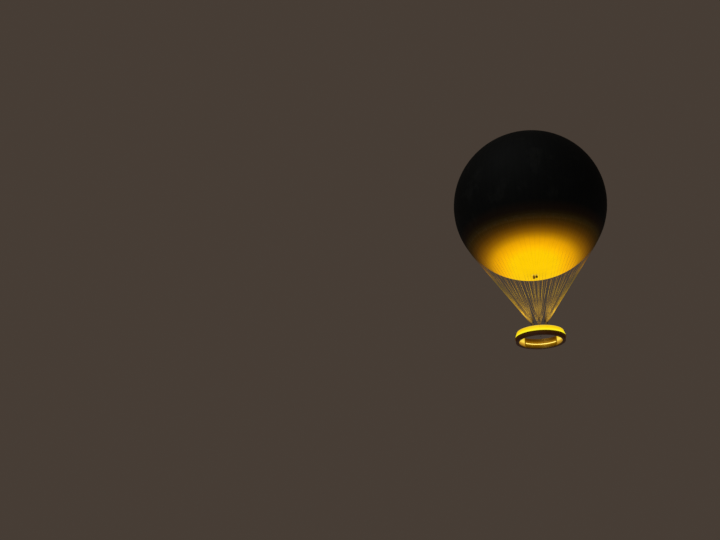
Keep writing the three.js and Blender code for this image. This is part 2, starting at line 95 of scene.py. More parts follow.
# %% [markdown]
# ## Helpers for shading nodes
# A material is a small network. These helpers add a node with its settings and its inputs, where an
# input is either a plain value or a link from another node. The others stand for what recurs: a sum, one
# range spread over another, a mix of two colours, a place on the object, and soft noise.


# %% Add nodes
BLACK = (0.0, 0.0, 0.0)


def put(socket, value):
    """Links an input or sets it. A colour is given by its three parts."""
    if isinstance(value, bpy.types.NodeSocket):
        socket.id_data.links.new(value, socket)
    elif value is not None:
        socket.default_value = (*value, 1) if socket.type == "RGBA" else value


def fill(node, inputs):
    """Sets inputs of a node, given by name or by number."""
    for key, value in inputs.items():
        put(node.inputs[key], value)
    return node


def add(tree, kind, settings=None, inputs=None):
    """Adds a shader node with its settings and inputs."""
    made = tree.nodes.new("ShaderNode" + kind)
    for key, value in (settings or {}).items():
        setattr(made, key, value)
    return fill(made, inputs or {})


# %% Numbers and colours
def maths(tree, operation, first, second=None):
    """Adds a math node and gives its result."""
    return add(tree, "Math", {"operation": operation}, {0: first, 1: second}).outputs[0]


def times(tree, first, second):
    return maths(tree, "MULTIPLY", first, second)


def scaled(tree, value, factor, offset):
    """A value times a factor, plus an offset."""
    return maths(tree, "ADD", times(tree, value, factor), offset)


def spread(tree, value, low, high, smooth=False):
    """Spreads the range from low to high over 0 to 1."""
    settings = {"interpolation_type": "SMOOTHSTEP" if smooth else "LINEAR"}
    span = {"Value": value, "From Min": low, "From Max": high}
    return add(tree, "MapRange", settings, span).outputs["Result"]


def ramp(tree, value, stops):
    """Adds a colour ramp whose stops are (place, colour) pairs."""
    made = add(tree, "ValToRGB", None, {"Fac": value})
    elements = made.color_ramp.elements
    while len(elements) < len(stops):
        elements.new(1)
    for element, (place, colour) in zip(elements, stops):
        element.position = place
        element.color = (*colour, 1)
    return made.outputs["Color"]


def mix(tree, share, first, second):
    """Mixes two colours by a share."""
    return add(tree, "MixRGB", None, {"Fac": share, "Color1": first, "Color2": second}).outputs["Color"]


def tone(colour, factor):
    """A lighter or darker tone of a colour."""
    return tuple(min(1, factor * part) for part in colour)


# %% Places and noise
def object_place(tree):
    return add(tree, "TexCoord").outputs["Object"]


def split(tree, place):
    return add(tree, "SeparateXYZ", None, {0: place}).outputs


def combine(tree, **parts):
    return add(tree, "CombineXYZ", None, parts).outputs[0]


def vector_maths(tree, operation, *inputs):
    return add(tree, "VectorMath", {"operation": operation}, dict(enumerate(inputs))).outputs


def azimuth_of(tree, parts):
    """The angle in radians about the upright axis."""
    return maths(tree, "ARCTAN2", parts["Y"], parts["X"])


def turn_of(tree, parts):
    """The same angle as a share of a full turn."""
    return maths(tree, "DIVIDE", azimuth_of(tree, parts), 2 * math.pi)


def noise(tree, scale, detail=2.0, place=None, roughness=0.5):
    """Soft noise over the object, or over another place."""
    where = object_place(tree) if place is None else place
    inputs = {"Vector": where, "Scale": scale, "Detail": detail, "Roughness": roughness}
    return add(tree, "TexNoise", None, inputs).outputs["Fac"]


# %% [markdown]
# ## Shared effects
# Several finishes on the balloon show the same effects: worn edges, stains, brushed grain, streaks and
# seams that stand around the upright axis, and a woven surface. Each effect is a node group, built once.


# %% Start a group
def new_group(name, inputs, outputs):
    tree = bpy.data.node_groups.new(name, "ShaderNodeTree")
    for label, value in inputs.items():
        socket = tree.interface.new_socket(name=label, in_out="INPUT", socket_type="NodeSocketFloat")
        socket.default_value = value
    for label in outputs:
        tree.interface.new_socket(name=label, in_out="OUTPUT", socket_type="NodeSocketFloat")
    source = tree.nodes.new("NodeGroupInput")
    target = tree.nodes.new("NodeGroupOutput")
    return tree, source.outputs, target.inputs


def effect(tree, group, **values):
    """Places a group in a material with its own values."""
    made = tree.nodes.new("ShaderNodeGroup")
    made.node_tree = group
    return fill(made, values).outputs


# %% Worn edges
EDGE_GAIN = 12.0


def build_worn_edges():
    tree, given, out = new_group("worn_edges", {"Width": 0.006, "Amount": 0.6}, ["Mask"])
    rounded = add(tree, "Bevel", {"samples": 4}, {"Radius": given["Width"]}).outputs["Normal"]
    plain = add(tree, "NewGeometry").outputs["Normal"]
    same = vector_maths(tree, "DOT_PRODUCT", rounded, plain)["Value"]
    edge = times(tree, maths(tree, "SUBTRACT", 1.0, same), EDGE_GAIN)
    mask = times(tree, times(tree, edge, noise(tree, 9.0, 6.0)), given["Amount"])
    put(out["Mask"], add(tree, "Clamp", None, {"Value": mask}).outputs["Result"])
    return tree


WORN_EDGES = build_worn_edges()


# %% Stains
def build_stains():
    tree, given, out = new_group("stains", {"Scale": 1.5, "Cover": 0.4}, ["Mask", "Height"])
    cloud = noise(tree, given["Scale"], 8.0, roughness=0.62)
    low = maths(tree, "SUBTRACT", 0.78, times(tree, given["Cover"], 0.5))
    put(out["Mask"], spread(tree, cloud, low, maths(tree, "ADD", low, 0.16), True))
    put(out["Height"], cloud)
    return tree


STAINS = build_stains()


# %% Brushed grain
def build_grain():
    tree, given, out = new_group("grain", {"Scale": 40.0, "Flat": 0.04}, ["Mask"])
    place = object_place(tree)
    parts = split(tree, place)
    flat = times(tree, azimuth_of(tree, parts), given["Flat"])
    line = combine(tree, X=flat, Y=vector_maths(tree, "LENGTH", place)["Value"], Z=parts["Z"])
    put(out["Mask"], noise(tree, given["Scale"], 5.0, line))
    return tree


GRAIN = build_grain()


# %% Upright streaks
def build_streaks():
    tree, given, out = new_group("streaks", {"Count": 60.0, "Long": 0.5}, ["Mask"])
    parts = split(tree, object_place(tree))
    across = times(tree, turn_of(tree, parts), given["Count"])
    place = combine(tree, X=across, Z=times(tree, parts["Z"], given["Long"]))
    put(out["Mask"], spread(tree, noise(tree, 1.0, 4.0, place), 0.35, 0.65, True))
    return tree


STREAKS = build_streaks()


# %% Seams around the upright axis
def build_meridians():
    tree, given, out = new_group("meridians", {"Count": 64.0, "Shift": 0.5, "Width": 0.02}, ["Mask"])
    parts = split(tree, object_place(tree))
    phase = scaled(tree, turn_of(tree, parts), given["Count"], given["Shift"])
    away = maths(tree, "PINGPONG", phase, 0.5)
    radius = vector_maths(tree, "LENGTH", combine(tree, X=parts["X"], Y=parts["Y"]))["Value"]
    pitch = maths(tree, "DIVIDE", times(tree, radius, 2 * math.pi), given["Count"])
    put(out["Mask"], spread(tree, times(tree, away, pitch), given["Width"], 0.0))
    return tree


MERIDIANS = build_meridians()


# %% Woven surface
def build_weave():
    tree, given, out = new_group("weave", {"Scale": 260.0}, ["Height"])
    where = {"Vector": object_place(tree), "Scale": given["Scale"], "Distortion": 0.4}
    waves = []
    for direction in "XYZ":
        settings = {"wave_type": "BANDS", "bands_direction": direction, "wave_profile": "SIN"}
        waves.append(add(tree, "TexWave", settings, where).outputs["Fac"])
    put(out["Height"], maths(tree, "MAXIMUM", times(tree, waves[0], waves[1]), waves[2]))
    return tree


WEAVE = build_weave()
print("effects:", [group.name for group in (WORN_EDGES, STAINS, GRAIN, STREAKS, MERIDIANS, WEAVE)])

# %% [markdown]
# ## Materials
# The finishes of the real balloon are few: coated black cloth, tan rope, galvanised steel, turned
# aluminium, dark and brown paint, gold-toned sheet, and panels that are lit from behind. Each gets its own
# colour variation, roughness and relief. What the ring's lamps light up gets an emission that fades with
# its height or with its place on the sphere.


# %% Start a material
def new_material(name, colour):
    """A material with one principled shader, and the colour that a plain viewport shows."""
    made = bpy.data.materials.new(name)
    made.use_nodes = True
    made.diffuse_color = (*colour, 1)
    tree = made.node_tree
    return made, tree, tree.nodes["Principled BSDF"]


def relief(tree, shader, height, strength, distance):
    bump = add(tree, "Bump", None, {"Height": height, "Strength": strength, "Distance": distance})
    put(shader.inputs["Normal"], bump.outputs["Normal"])


# %% Coated cloth with its lit lower part
LIT_STOPS = [  # degrees from the lower pole, and the light that the cloth sends back there
    (0, (1.0, 0.61, 0.0)), (28, (1.0, 0.6, 0.0)), (33, (1.0, 0.5, 0.0)), (36, (0.9, 0.42, 0.0)),
    (39, (0.74, 0.33, 0.0)), (42, (0.46, 0.2, 0.0)), (45, (0.25, 0.1, 0.0)), (48, (0.13, 0.05, 0.0)),
    (51, (0.058, 0.022, 0.0)), (54, (0.026, 0.011, 0.0)), (57, (0.01, 0.005, 0.0)),
    (61, (0.003, 0.001, 0.0)), (68, BLACK),
]


def sideways(tree, parts):
    """How far a place lies aside: 0 at the front and back of the axis, 1 at its left and right."""
    x2 = times(tree, parts["X"], parts["X"])
    y2 = times(tree, parts["Y"], parts["Y"])
    return maths(tree, "DIVIDE", x2, maths(tree, "ADD", maths(tree, "ADD", x2, y2), 0.001))


def lamp_light(tree):
    """The lamps' light on the sphere: full at the lower pole, gone by 68 degrees, dimmer at both sides."""
    place = object_place(tree)
    height = split(tree, vector_maths(tree, "NORMALIZE", place)["Vector"])["Z"]
    angle = maths(tree, "DEGREES", maths(tree, "ARCCOSINE", times(tree, height, -1.0)))
    left = maths(tree, "MAXIMUM", maths(tree, "SUBTRACT", 60.0, angle), 0.0)
    shift = times(tree, times(tree, left, 0.3), sideways(tree, split(tree, place)))
    share = maths(tree, "DIVIDE", maths(tree, "ADD", angle, shift), 90.0)
    return ramp(tree, share, [(degrees / 90, colour) for degrees, colour in LIT_STOPS])


def build_cloth():
    made, tree, shader = new_material("coated_black_cloth", (0.03, 0.03, 0.027))
    stains = effect(tree, STAINS, Scale=0.35, Cover=0.5)
    seams = effect(tree, MERIDIANS, Count=64.0, Shift=0.5, Width=0.045)["Mask"]
    base = mix(tree, stains["Mask"], (0.0032, 0.0036, 0.0034), (0.006, 0.0064, 0.006))
    ripple = noise(tree, 0.9, 3.0)
    shade = maths(tree, "ADD", times(tree, ripple, 0.12), times(tree, seams, 0.1))
    fill(shader, {
        "Base Color": mix(tree, seams, base, (0.002, 0.002, 0.002)),
        "Roughness": scaled(tree, stains["Height"], 0.16, 0.62),
        "Specular IOR Level": 0.04,
        "Emission Color": mix(tree, shade, lamp_light(tree), BLACK),
        "Emission Strength": 1.07,
    })
    weave = effect(tree, WEAVE, Scale=190.0)["Height"]
    relief(tree, shader, scaled(tree, weave, 0.02, ripple), 0.35, 0.04)
    return made


CLOTH = build_cloth()


# %% Webbing of the belt and its patches
def build_webbing():
    made, tree, shader = new_material("black_webbing", (0.03, 0.03, 0.03))
    stains = effect(tree, STAINS, Scale=2.5, Cover=0.6)["Mask"]
    fill(shader, {
        "Base Color": mix(tree, stains, (0.005, 0.005, 0.0048), (0.011, 0.0105, 0.0095)),
        "Roughness": 0.82,
        "Specular IOR Level": 0.06,
        "Emission Color": lamp_light(tree),
        "Emission Strength": 1.2,
    })
    relief(tree, shader, effect(tree, WEAVE, Scale=120.0)["Height"], 0.5, 0.002)
    return made


WEBBING = build_webbing()

# %% Rope
ROPE_GLOW = 1.7
ROPE_STOPS = [  # a share of the height from the clamp to the belt, and the light there
    (0.0, (0.03, 0.015, 0.002)), (0.05, (0.07, 0.036, 0.004)), (0.09, (0.25, 0.135, 0.008)),
    (0.16, (0.57, 0.32, 0.02)), (0.25, (0.36, 0.195, 0.006)), (0.36, (0.28, 0.155, 0.004)),
    (0.58, (0.125, 0.078, 0.005)), (1.0, (0.065, 0.038, 0.001)),
]


def build_rope():
    """Braided rope. Near the cloth it takes the cloth's light, except where it stands out at both sides."""
    made, tree, shader = new_material("braided_rope", (0.42, 0.34, 0.2))
    own = split(tree, add(tree, "Attribute", {"attribute_name": "rope_place"}).outputs["Vector"])
    turn = times(tree, azimuth_of(tree, own), 4.0)
    along = times(tree, own["Z"], 260.0)
    one = maths(tree, "SINE", maths(tree, "ADD", turn, along))
    other = maths(tree, "SINE", maths(tree, "SUBTRACT", turn, along))
    stains = effect(tree, STAINS, Scale=3.0, Cover=0.7)["Mask"]
    whole = split(tree, object_place(tree))
    facing = maths(tree, "SUBTRACT", 1.0, times(tree, sideways(tree, whole), 1.6))
    touching = spread(tree, whole["Z"], -10.8, -9.2, True)
    near_cloth = spread(tree, whole["Z"], -13.2, -12.2, True)
    near_cloth = times(tree, near_cloth, maths(tree, "MAXIMUM", facing, touching))
    glow = ramp(tree, spread(tree, whole["Z"], -18.4, -8.4), ROPE_STOPS)
    cloth_light = mix(tree, 1 - 1 / ROPE_GLOW, lamp_light(tree), BLACK)
    fill(shader, {
        # The rope is tan, but its base colour is near black as painted shade, so its look comes only from the
        # emission.
        "Base Color": mix(tree, stains, (0.045, 0.036, 0.024), (0.03, 0.024, 0.016)),
        "Roughness": 0.8,
        "Specular IOR Level": 0.1,
        "Emission Color": mix(tree, near_cloth, glow, cloth_light),
        "Emission Strength": ROPE_GLOW,
    })
    relief(tree, shader, maths(tree, "MAXIMUM", one, other), 0.7, 0.0015)
    return made


ROPE = build_rope()


# %% Metals
def build_metal(name, dark, light, rough, scale, lit=0.0):
    """A metal with grain, stains and bright worn edges, which can send back the lamps' light."""
    made, tree, shader = new_material(name, light)
    grain = effect(tree, GRAIN, Scale=scale, Flat=0.06)["Mask"]
    stains = effect(tree, STAINS, Scale=6.0, Cover=0.5)["Mask"]
    worn = effect(tree, WORN_EDGES, Width=0.004, Amount=0.8)["Mask"]
    base = mix(tree, stains, mix(tree, grain, dark, light), tone(dark, 0.6))
    fill(shader, {
        "Base Color": mix(tree, worn, base, tone(light, 1.35)),
        "Metallic": 0.9,
        "Roughness": scaled(tree, grain, 0.25, rough),
    })
    if lit:
        # The lamps shine from below: full light on what faces down, a third on upright faces.
        upward = split(tree, add(tree, "NewGeometry").outputs["Normal"])["Z"]
        brushed = maths(tree, "SUBTRACT", 1.25, times(tree, grain, 0.5))
        share = times(tree, spread(tree, upward, 0.5, -1.0), brushed)
        light_back = mix(tree, share, BLACK, lamp_light(tree))
        fill(shader, {"Emission Color": light_back, "Emission Strength": lit})
    relief(tree, shader, grain, 0.2, 0.001)
    return made


STEEL = build_metal("galvanised_steel", (0.09, 0.09, 0.093), (0.18, 0.18, 0.185), 0.5, 30.0)
# Steel painted near black: painted shade that keeps the belt's eyes free of highlights.
STEEL_DARK_AS_PAINTED_SHADE = build_metal("steel_dark_as_painted_shade", (0.012, 0.012, 0.012), (0.03, 0.03, 0.03), 0.6, 30.0)
ALUMINIUM = build_metal("turned_aluminium", (0.5, 0.51, 0.52), (0.72, 0.73, 0.74), 0.26, 70.0)
# Its base colour is a dark yellow-brown, not aluminium grey: painted shade from above and a painted
# reflection of the lamps' yellow light.
LIT_ALUMINIUM = build_metal("lit_aluminium", (0.12, 0.09, 0.03), (0.18, 0.14, 0.05), 0.5, 70.0, 0.95)

# %% Paints
SPILL_LOW = -20.95
SPILL_HIGH = -20.39
SPILL_STOPS = [  # a share of the trough's height, and the ring's light that reaches it
    (0.0, (0.01, 0.002, 0.0)), (0.35, (0.014, 0.003, 0.0)), (0.75, (0.022, 0.008, 0.0)),
    (0.96, (0.05, 0.02, 0.0)), (1.0, BLACK),
]


def build_paint(name, colour, bare, rough, scale, spill=0.0):
    """Paint with an uneven sheen, stains and bare edges, which can take the ring's light."""
    made, tree, shader = new_material(name, colour)
    stains = effect(tree, STAINS, Scale=scale, Cover=0.7)
    worn = effect(tree, WORN_EDGES, Width=0.006, Amount=1.0)["Mask"]
    base = mix(tree, stains["Mask"], colour, tone(colour, 1.7))
    fill(shader, {
        "Base Color": mix(tree, worn, base, bare),
        "Roughness": scaled(tree, stains["Height"], 0.3, rough),
        "Specular IOR Level": 0.12,
    })
    if spill:
        share = spread(tree, split(tree, object_place(tree))["Z"], SPILL_LOW, SPILL_HIGH)
        fill(shader, {"Emission Color": ramp(tree, share, SPILL_STOPS), "Emission Strength": spill})
    relief(tree, shader, noise(tree, 160.0), 0.12, 0.001)
    return made


DARK_PAINT = build_paint("near_black_paint", (0.018, 0.007, 0.0015), (0.07, 0.045, 0.02), 0.5, 3.0, 1.0)
BROWN_PAINT = build_paint("brown_paint", (0.2, 0.09, 0.02), (0.4, 0.3, 0.18), 0.36, 8.0)
LAMP_BLACK = build_paint("lamp_black", (0.02, 0.02, 0.02), (0.2, 0.2, 0.2), 0.45, 9.0)


# %% [markdown]
# ## Helpers for modelling
# Most of this object is round about one upright axis, so an outline that is spun makes most of its
# pieces. An outline starts as one corner that is pushed on from point to point, as a hand would do it.
# Its heights are counted from the piece's own base. Blocks are cubes with rounded edges, and what repeats
# is spun round as whole copies.


# %% Places
def polar(radius, azimuth, z):
    """A point at a radius, an azimuth in degrees from -Y towards +X, and a height."""
    a = math.radians(azimuth)
    return Vector((radius * math.sin(a), -radius * math.cos(a), z))


def on_sphere(radius, angle, azimuth=0.0):
    """A point at an angle in radians from the lower pole."""
    return polar(radius * math.sin(angle), azimuth, -radius * math.cos(angle))


def lifted(base, points):
    """An outline whose heights are counted from a base."""
    return [(r, base + z) for r, z in points]


def wall(outline):
    """Closes an outline on itself."""
    return [*outline, outline[0]]


# %% Select
def only(obj):
    bpy.ops.object.select_all(action="DESELECT")
    obj.select_set(True)
    bpy.context.view_layer.objects.active = obj


def edit_all(obj, kind="VERT"):
    only(obj)
    bpy.ops.object.mode_set(mode="EDIT")
    bpy.ops.mesh.select_mode(type=kind)
    bpy.ops.mesh.select_all(action="SELECT")


def pick_faces(obj, wanted):
    """Selects the faces whose direction is wanted, and stays in edit mode."""
    edit_all(obj, "FACE")
    shell = bmesh.from_edit_mesh(obj.data)
    for face in shell.faces:
        face.select_set(wanted(face.normal))
    bmesh.update_edit_mesh(obj.data)


# %% Draw and spin
CLOSE = 1e-5


def drawn(name, points):
    """An outline, drawn by pushing one corner on from point to point. It is left in edit mode."""
    bpy.ops.object.select_all(action="DESELECT")
    bpy.ops.mesh.primitive_plane_add(size=0.01)
    obj = bpy.context.object
    obj.name = name
    edit_all(obj)
    bpy.ops.mesh.merge(type="CENTER")
    bpy.ops.transform.translate(value=points[0])
    for here, there in zip(points, points[1:]):
        step = Vector(there) - Vector(here)
        bpy.ops.mesh.extrude_region_move(TRANSFORM_OT_translate={"value": step})
    bpy.ops.mesh.select_all(action="SELECT")
    bpy.ops.mesh.remove_doubles(threshold=CLOSE)
    bpy.ops.mesh.select_all(action="SELECT")
    return obj


def closed_up(obj):
    """Joins doubles, fills open ends and turns all faces outwards."""
    bpy.ops.mesh.select_all(action="SELECT")
    bpy.ops.mesh.remove_doubles(threshold=CLOSE)
    bpy.ops.mesh.fill_holes(sides=0)
    bpy.ops.mesh.select_all(action="SELECT")
    bpy.ops.mesh.normals_make_consistent(inside=False)
    bpy.ops.object.mode_set(mode="OBJECT")
    return obj


def spun(name, outline, steps, start=0.0, span=360.0):
    """Spins an outline of (radius, height) points about the upright axis, from an azimuth and over a span."""
    obj = drawn(name, [polar(r, start, z) for r, z in outline])
    # A positive angle would spin towards smaller azimuths.
    bpy.ops.mesh.spin(steps=steps, angle=-math.radians(span), center=(0, 0, 0), axis=(0, 0, 1))
    return closed_up(obj)


def cylinder(name, radius, low, high, sides):
    return spun(name, [(0, low), (radius, low), (radius, high), (0, high)], sides)


# %% Blocks and hoops
def block(name, size, middle, edge, segments=2):
    """A cube at its size and place with rounded edges."""
    bpy.ops.object.select_all(action="DESELECT")
    bpy.ops.mesh.primitive_cube_add(size=1, location=middle, scale=size)
    obj = bpy.context.object
    obj.name = name
    bpy.ops.object.transform_apply(location=True, rotation=True, scale=True)
    edit_all(obj, "EDGE")
    bpy.ops.mesh.bevel(offset=edge, segments=segments, affect="EDGES")
    bpy.ops.object.mode_set(mode="OBJECT")
    return obj


def hoop(radius, thick, sides, sides_across, middle, tilt=(0, 0, 0)):
    """A round bar bent to a ring."""
    bpy.ops.object.select_all(action="DESELECT")
    bpy.ops.mesh.primitive_torus_add(
        major_radius=radius, minor_radius=thick, major_segments=sides, minor_segments=sides_across,
        location=middle, rotation=tilt,
    )
    bpy.ops.object.transform_apply(location=True, rotation=True)
    return bpy.context.object


# %% Copy, turn and move
def around(obj, count):
    """Fills a circle with copies of a mesh."""
    edit_all(obj)
    angle = 2 * math.pi - 2 * math.pi / count
    bpy.ops.mesh.spin(steps=count - 1, angle=angle, dupli=True, center=(0, 0, 0), axis=(0, 0, 1))
    bpy.ops.object.mode_set(mode="OBJECT")
    return obj


def turned(obj, azimuth):
    only(obj)
    obj.rotation_euler = (0, 0, math.radians(azimuth))
    bpy.ops.object.transform_apply(rotation=True)
    return obj


def moved(obj, step):
    only(obj)
    obj.location = step
    bpy.ops.object.transform_apply(location=True)
    return obj


def twin(obj, name):
    """A copy with its own mesh."""
    only(obj)
    bpy.ops.object.duplicate()
    made = bpy.context.object
    made.name = name
    return made


def laid(obj, start, end):
    """Lays a piece that was made along +Z from the origin between two points."""
    return aimed(obj, start, Vector(end) - Vector(start))


def aimed(obj, start, direction):
    """Moves a piece that was made along +Z from the origin, and turns it into a direction."""
    only(obj)
    obj.rotation_mode = "QUATERNION"
    obj.rotation_quaternion = Vector(direction).to_track_quat("Z", "Y")
    obj.location = start
    bpy.ops.object.transform_apply(location=True, rotation=True)
    obj.rotation_mode = "XYZ"
    return obj


# %% Cut, paint and join
def apply(obj, kind, **settings):
    """Adds a modifier with its settings and applies it."""
    only(obj)
    made = obj.modifiers.new(kind.lower(), kind)
    for key, value in settings.items():
        setattr(made, key, value)
    bpy.ops.object.modifier_apply(modifier=made.name)
    return obj


def drilled(obj, drill):
    """Cuts the form of a drill out of a piece."""
    apply(obj, "BOOLEAN", object=drill, operation="DIFFERENCE", solver="EXACT")
    bpy.data.objects.remove(drill)


def painted(obj, material):
    obj.data.materials.clear()
    obj.data.materials.append(material)
    return obj


def joined(name, pieces):
    only(pieces[0])
    for piece in pieces[1:]:
        piece.select_set(True)
    bpy.ops.object.join()
    made = bpy.context.object
    made.name = name
    made.data.name = name
    return made


def dress(obj, body, slot, *nodes, smooth=35):
    """Smooths a finished piece, fixes it to its body, hides the frame parts that it stands for and prints its
    triangles.
    """
    only(obj)
    bpy.ops.object.shade_smooth_by_angle(angle=math.radians(smooth))
    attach(obj, body)
    if nodes:
        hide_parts(*nodes)
    faces = sum(len(face.vertices) - 2 for face in obj.data.polygons)
    print(f"{obj.name}: {faces} triangles on {body}")


def dress_round(first, name, slot, node):
    """Turns copies of a piece round the axis, one to a fan, and dresses them all."""
    pieces = [first] + [turned(twin(first, f"{name}_{i + 1}"), i * 360 / FANS) for i in range(1, FANS)]
    for i, piece in enumerate(pieces):
        dress(piece, "balloon", slot, f"{node}_{i + 1}")


# %% Bolts
def bolt(radius, high, washer=1.5):
    """A hexagon head on its washer, made along +Z from the origin."""
    thin = high * 0.2
    outline = [(0, high), (radius * 0.85, high), (radius, high * 0.85), (radius, thin)]
    return spun("bolt", [*outline, (radius * washer, thin), (radius * washer, 0)], 6)


def bolt_circle(head, radius, z, count):
    """Heads that stand upright on a circle."""
    return around(moved(head, (0, -radius, z)), count)


# %% [markdown]
# ## Floor
# A pale floor far below, level with the ground that the camera stands on.

# %% Floor
FLOOR_Z = -60.7
bpy.ops.mesh.primitive_plane_add(size=5000, location=(0, 0, FLOOR_Z))
floor = bpy.context.object
floor.name = "floor"
pale, tree, shader = new_material("pale_floor", (0.75, 0.74, 0.72))
patches = effect(tree, STAINS, Scale=0.05, Cover=0.5)["Mask"]
floor_colour = mix(tree, patches, (0.76, 0.75, 0.73), (0.72, 0.71, 0.69))
fill(shader, {"Base Color": floor_colour, "Roughness": 0.9})
painted(floor, pale)
floor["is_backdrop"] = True

# %% [markdown]
# ## Where the lines touch the sphere
# The height of the load belt follows from the lines: each touches the sphere where it runs along it. The
# same sum as in the frame gives that place, so that belt and lines meet.

# %% Where the lines touch
ENVELOPE_R = 11.0
GORES = 64
GORE_DEG = 360 / GORES
FANS = 8
LINES_PER_FAN = 8
LINE_R = 0.012
LINE_PITCH = 0.027
TOUCH_R = 11.0246
LOAD_R = 1.15
CLAMP_Z = -18.2
OUTER_STEP = (LINES_PER_FAN - 1) / 2
SEAT = 0.0003  # the gap that keeps seated pieces apart


def line_ends(step):
    """Foot and touching point of a line of the front fan, and its angle from the lower pole."""
    foot = Vector((step * LINE_PITCH, -LOAD_R, CLAMP_Z))
    meridian = step * GORE_DEG
    outward = polar(1, meridian, 0)
    across = foot.x * outward.x + foot.y * outward.y
    angle = math.atan2(across, -foot.z) + math.acos(TOUCH_R / math.hypot(across, foot.z))
    return foot, on_sphere(TOUCH_R, angle, meridian), angle


BELT_ANGLE = line_ends(OUTER_STEP)[2]
print("the lines touch at", round(math.degrees(BELT_ANGLE), 2), "degrees from the lower pole")

# %% [markdown]
# ## Envelope
# The envelope is welded from 64 gores of thin coated cloth. The helium pushes the middle of each gore out
# by about a centimetre, while the seams hold it back. A sphere with four columns of faces to a gore can
# show that: a vertex group says how far each corner is pushed out, and a Displace modifier does it. The
# load belt holds the cloth in, so the push fades out there. The sphere is then cut open at its belly and
# its crown and gets the cloth's thickness.

# %% Envelope
RINGS = 96
BELLY_HOLE_R = 0.4
CROWN_HOLE_R = 0.33
PUFF = 0.012
HELD = 0.06
FREE = 0.2
CLOTH_THICK = 0.003
bpy.ops.object.select_all(action="DESELECT")
bpy.ops.mesh.primitive_uv_sphere_add(segments=GORES * 4, ring_count=RINGS, radius=ENVELOPE_R)
envelope = bpy.context.object
envelope.name = "envelope_cloth"
puffed = envelope.vertex_groups.new(name="puffed")
for corner in envelope.data.vertices:
    phase = math.degrees(math.atan2(corner.co.y, corner.co.x)) / GORE_DEG
    from_seam = abs((phase % 1.0) - 0.5) * 2
    level = math.hypot(corner.co.x, corner.co.y) / ENVELOPE_R
    angle = math.acos(max(-1.0, min(1.0, -corner.co.z / ENVELOPE_R)))
    free = max(0.0, min(1.0, (abs(angle - BELT_ANGLE) - HELD) / (FREE - HELD)))
    puffed.add([corner.index], math.sin(from_seam * math.pi / 2) * level * free, "REPLACE")
apply(envelope, "DISPLACE", vertex_group="puffed", strength=PUFF, mid_level=0)
for hole_r, sign in ((BELLY_HOLE_R, -1), (CROWN_HOLE_R, 1)):
    edit_all(envelope)
    level = sign * math.sqrt(ENVELOPE_R ** 2 - hole_r ** 2)
    bpy.ops.mesh.bisect(plane_co=(0, 0, level), plane_no=(0, 0, sign), clear_outer=True)
    bpy.ops.object.mode_set(mode="OBJECT")
apply(envelope, "SOLIDIFY", thickness=CLOTH_THICK, offset=-1)
dress(painted(envelope, CLOTH), "balloon", "envelope_fabric", "envelope", smooth=60)

# %% [markdown]
# ## Seam tapes
# Each seam is covered by a welded tape, 60 mm wide and 3 mm proud. One tape is a small rectangle that is
# spun over the sphere from the belly to the crown, and copies go round the axis.


# %% Seam tapes
def meridian_strip(name, low_r, high_r, half, from_angle, to_angle, steps):
    """A flat strip that lies on the sphere along the meridian at the front."""
    corners = []
    for side, radius in ((-half, low_r), (half, low_r), (half, high_r), (-half, high_r), (-half, low_r)):
        corners.append(on_sphere(radius, from_angle) + Vector((side, 0, 0)))
    obj = drawn(name, corners)
    bpy.ops.mesh.spin(steps=steps, angle=to_angle - from_angle, center=(0, 0, 0), axis=(1, 0, 0))
    return closed_up(obj)


def over_seams(obj):
    """Turns a strip from the front onto the nearest seam and copies it to all seams."""
    return around(turned(obj, GORE_DEG / 2), GORES)


TAPE_HALF = 0.03
TAPE_TOP = ENVELOPE_R + 0.003
tape_start = 2 * math.pi / RINGS
tape = meridian_strip(
    "seam_tapes", ENVELOPE_R, TAPE_TOP, TAPE_HALF, tape_start, math.pi - tape_start, RINGS - 4
)
dress(painted(over_seams(tape), CLOTH), "balloon", "envelope_fabric")

# %% [markdown]
# ## Load belt
# The lines pull on a belt of doubled cloth that lies where they touch the sphere. Under every line lies a
# sewn patch of webbing.

# %% Belt
BELT_LOW = BELT_ANGLE - 0.036
BELT_HIGH = BELT_ANGLE + 0.03
BELT_IN = ENVELOPE_R + 0.0035
BELT_OUT = ENVELOPE_R + 0.0085
HEM_OUT = ENVELOPE_R + 0.0105
HEM = 0.0032


def sphere_outline(radius, angles):
    return [(radius * math.sin(a), -radius * math.cos(a)) for a in angles]


belt_middle = [BELT_ANGLE - 0.012, BELT_ANGLE, BELT_ANGLE + 0.012]
outer = [
    *sphere_outline(HEM_OUT, [BELT_LOW, BELT_LOW + HEM]),
    *sphere_outline(BELT_OUT, [BELT_LOW + HEM * 1.2, *belt_middle, BELT_HIGH - HEM * 1.2]),
    *sphere_outline(HEM_OUT, [BELT_HIGH - HEM, BELT_HIGH]),
]
inner = sphere_outline(BELT_IN, [BELT_HIGH, *reversed(belt_middle), BELT_LOW])
belt = painted(spun("load_belt_cloth", wall(outer + inner), GORES * 4), WEBBING)
dress(belt, "balloon", "envelope_fabric", "load_belt")

# %% Belt patches
PATCH_TOP = BELT_OUT + 0.0032
STITCH_TOP = BELT_OUT + 0.0042
STITCH_HALF = 0.0012
patch_parts = [meridian_strip("patch", BELT_OUT, PATCH_TOP, 0.05, BELT_LOW + 0.005, BELT_HIGH - 0.004, 6)]
for share in (0.2, 0.5, 0.8):
    at = BELT_LOW + (BELT_HIGH - BELT_LOW) * share
    ends = (at - STITCH_HALF, at + STITCH_HALF)
    patch_parts.append(meridian_strip("stitch", BELT_OUT, STITCH_TOP, 0.062, *ends, 1))
patch = painted(over_seams(joined("belt_patches", patch_parts)), WEBBING)
dress(patch, "balloon", "envelope_fabric")

# %% [markdown]
# ## Suspension fans
# Eight lines of a fan are sewn to their patches and meet in one clamp. A line is a straight braided rope
# with a spliced, thicker end and a steel eye. A rope is straight and long, so its pattern can't come from
# the place in the room: each rope keeps its own coordinates in an attribute before it is laid.

# %% One rope
ROPE_SIDES = 10
SPLICE_R = 0.0155


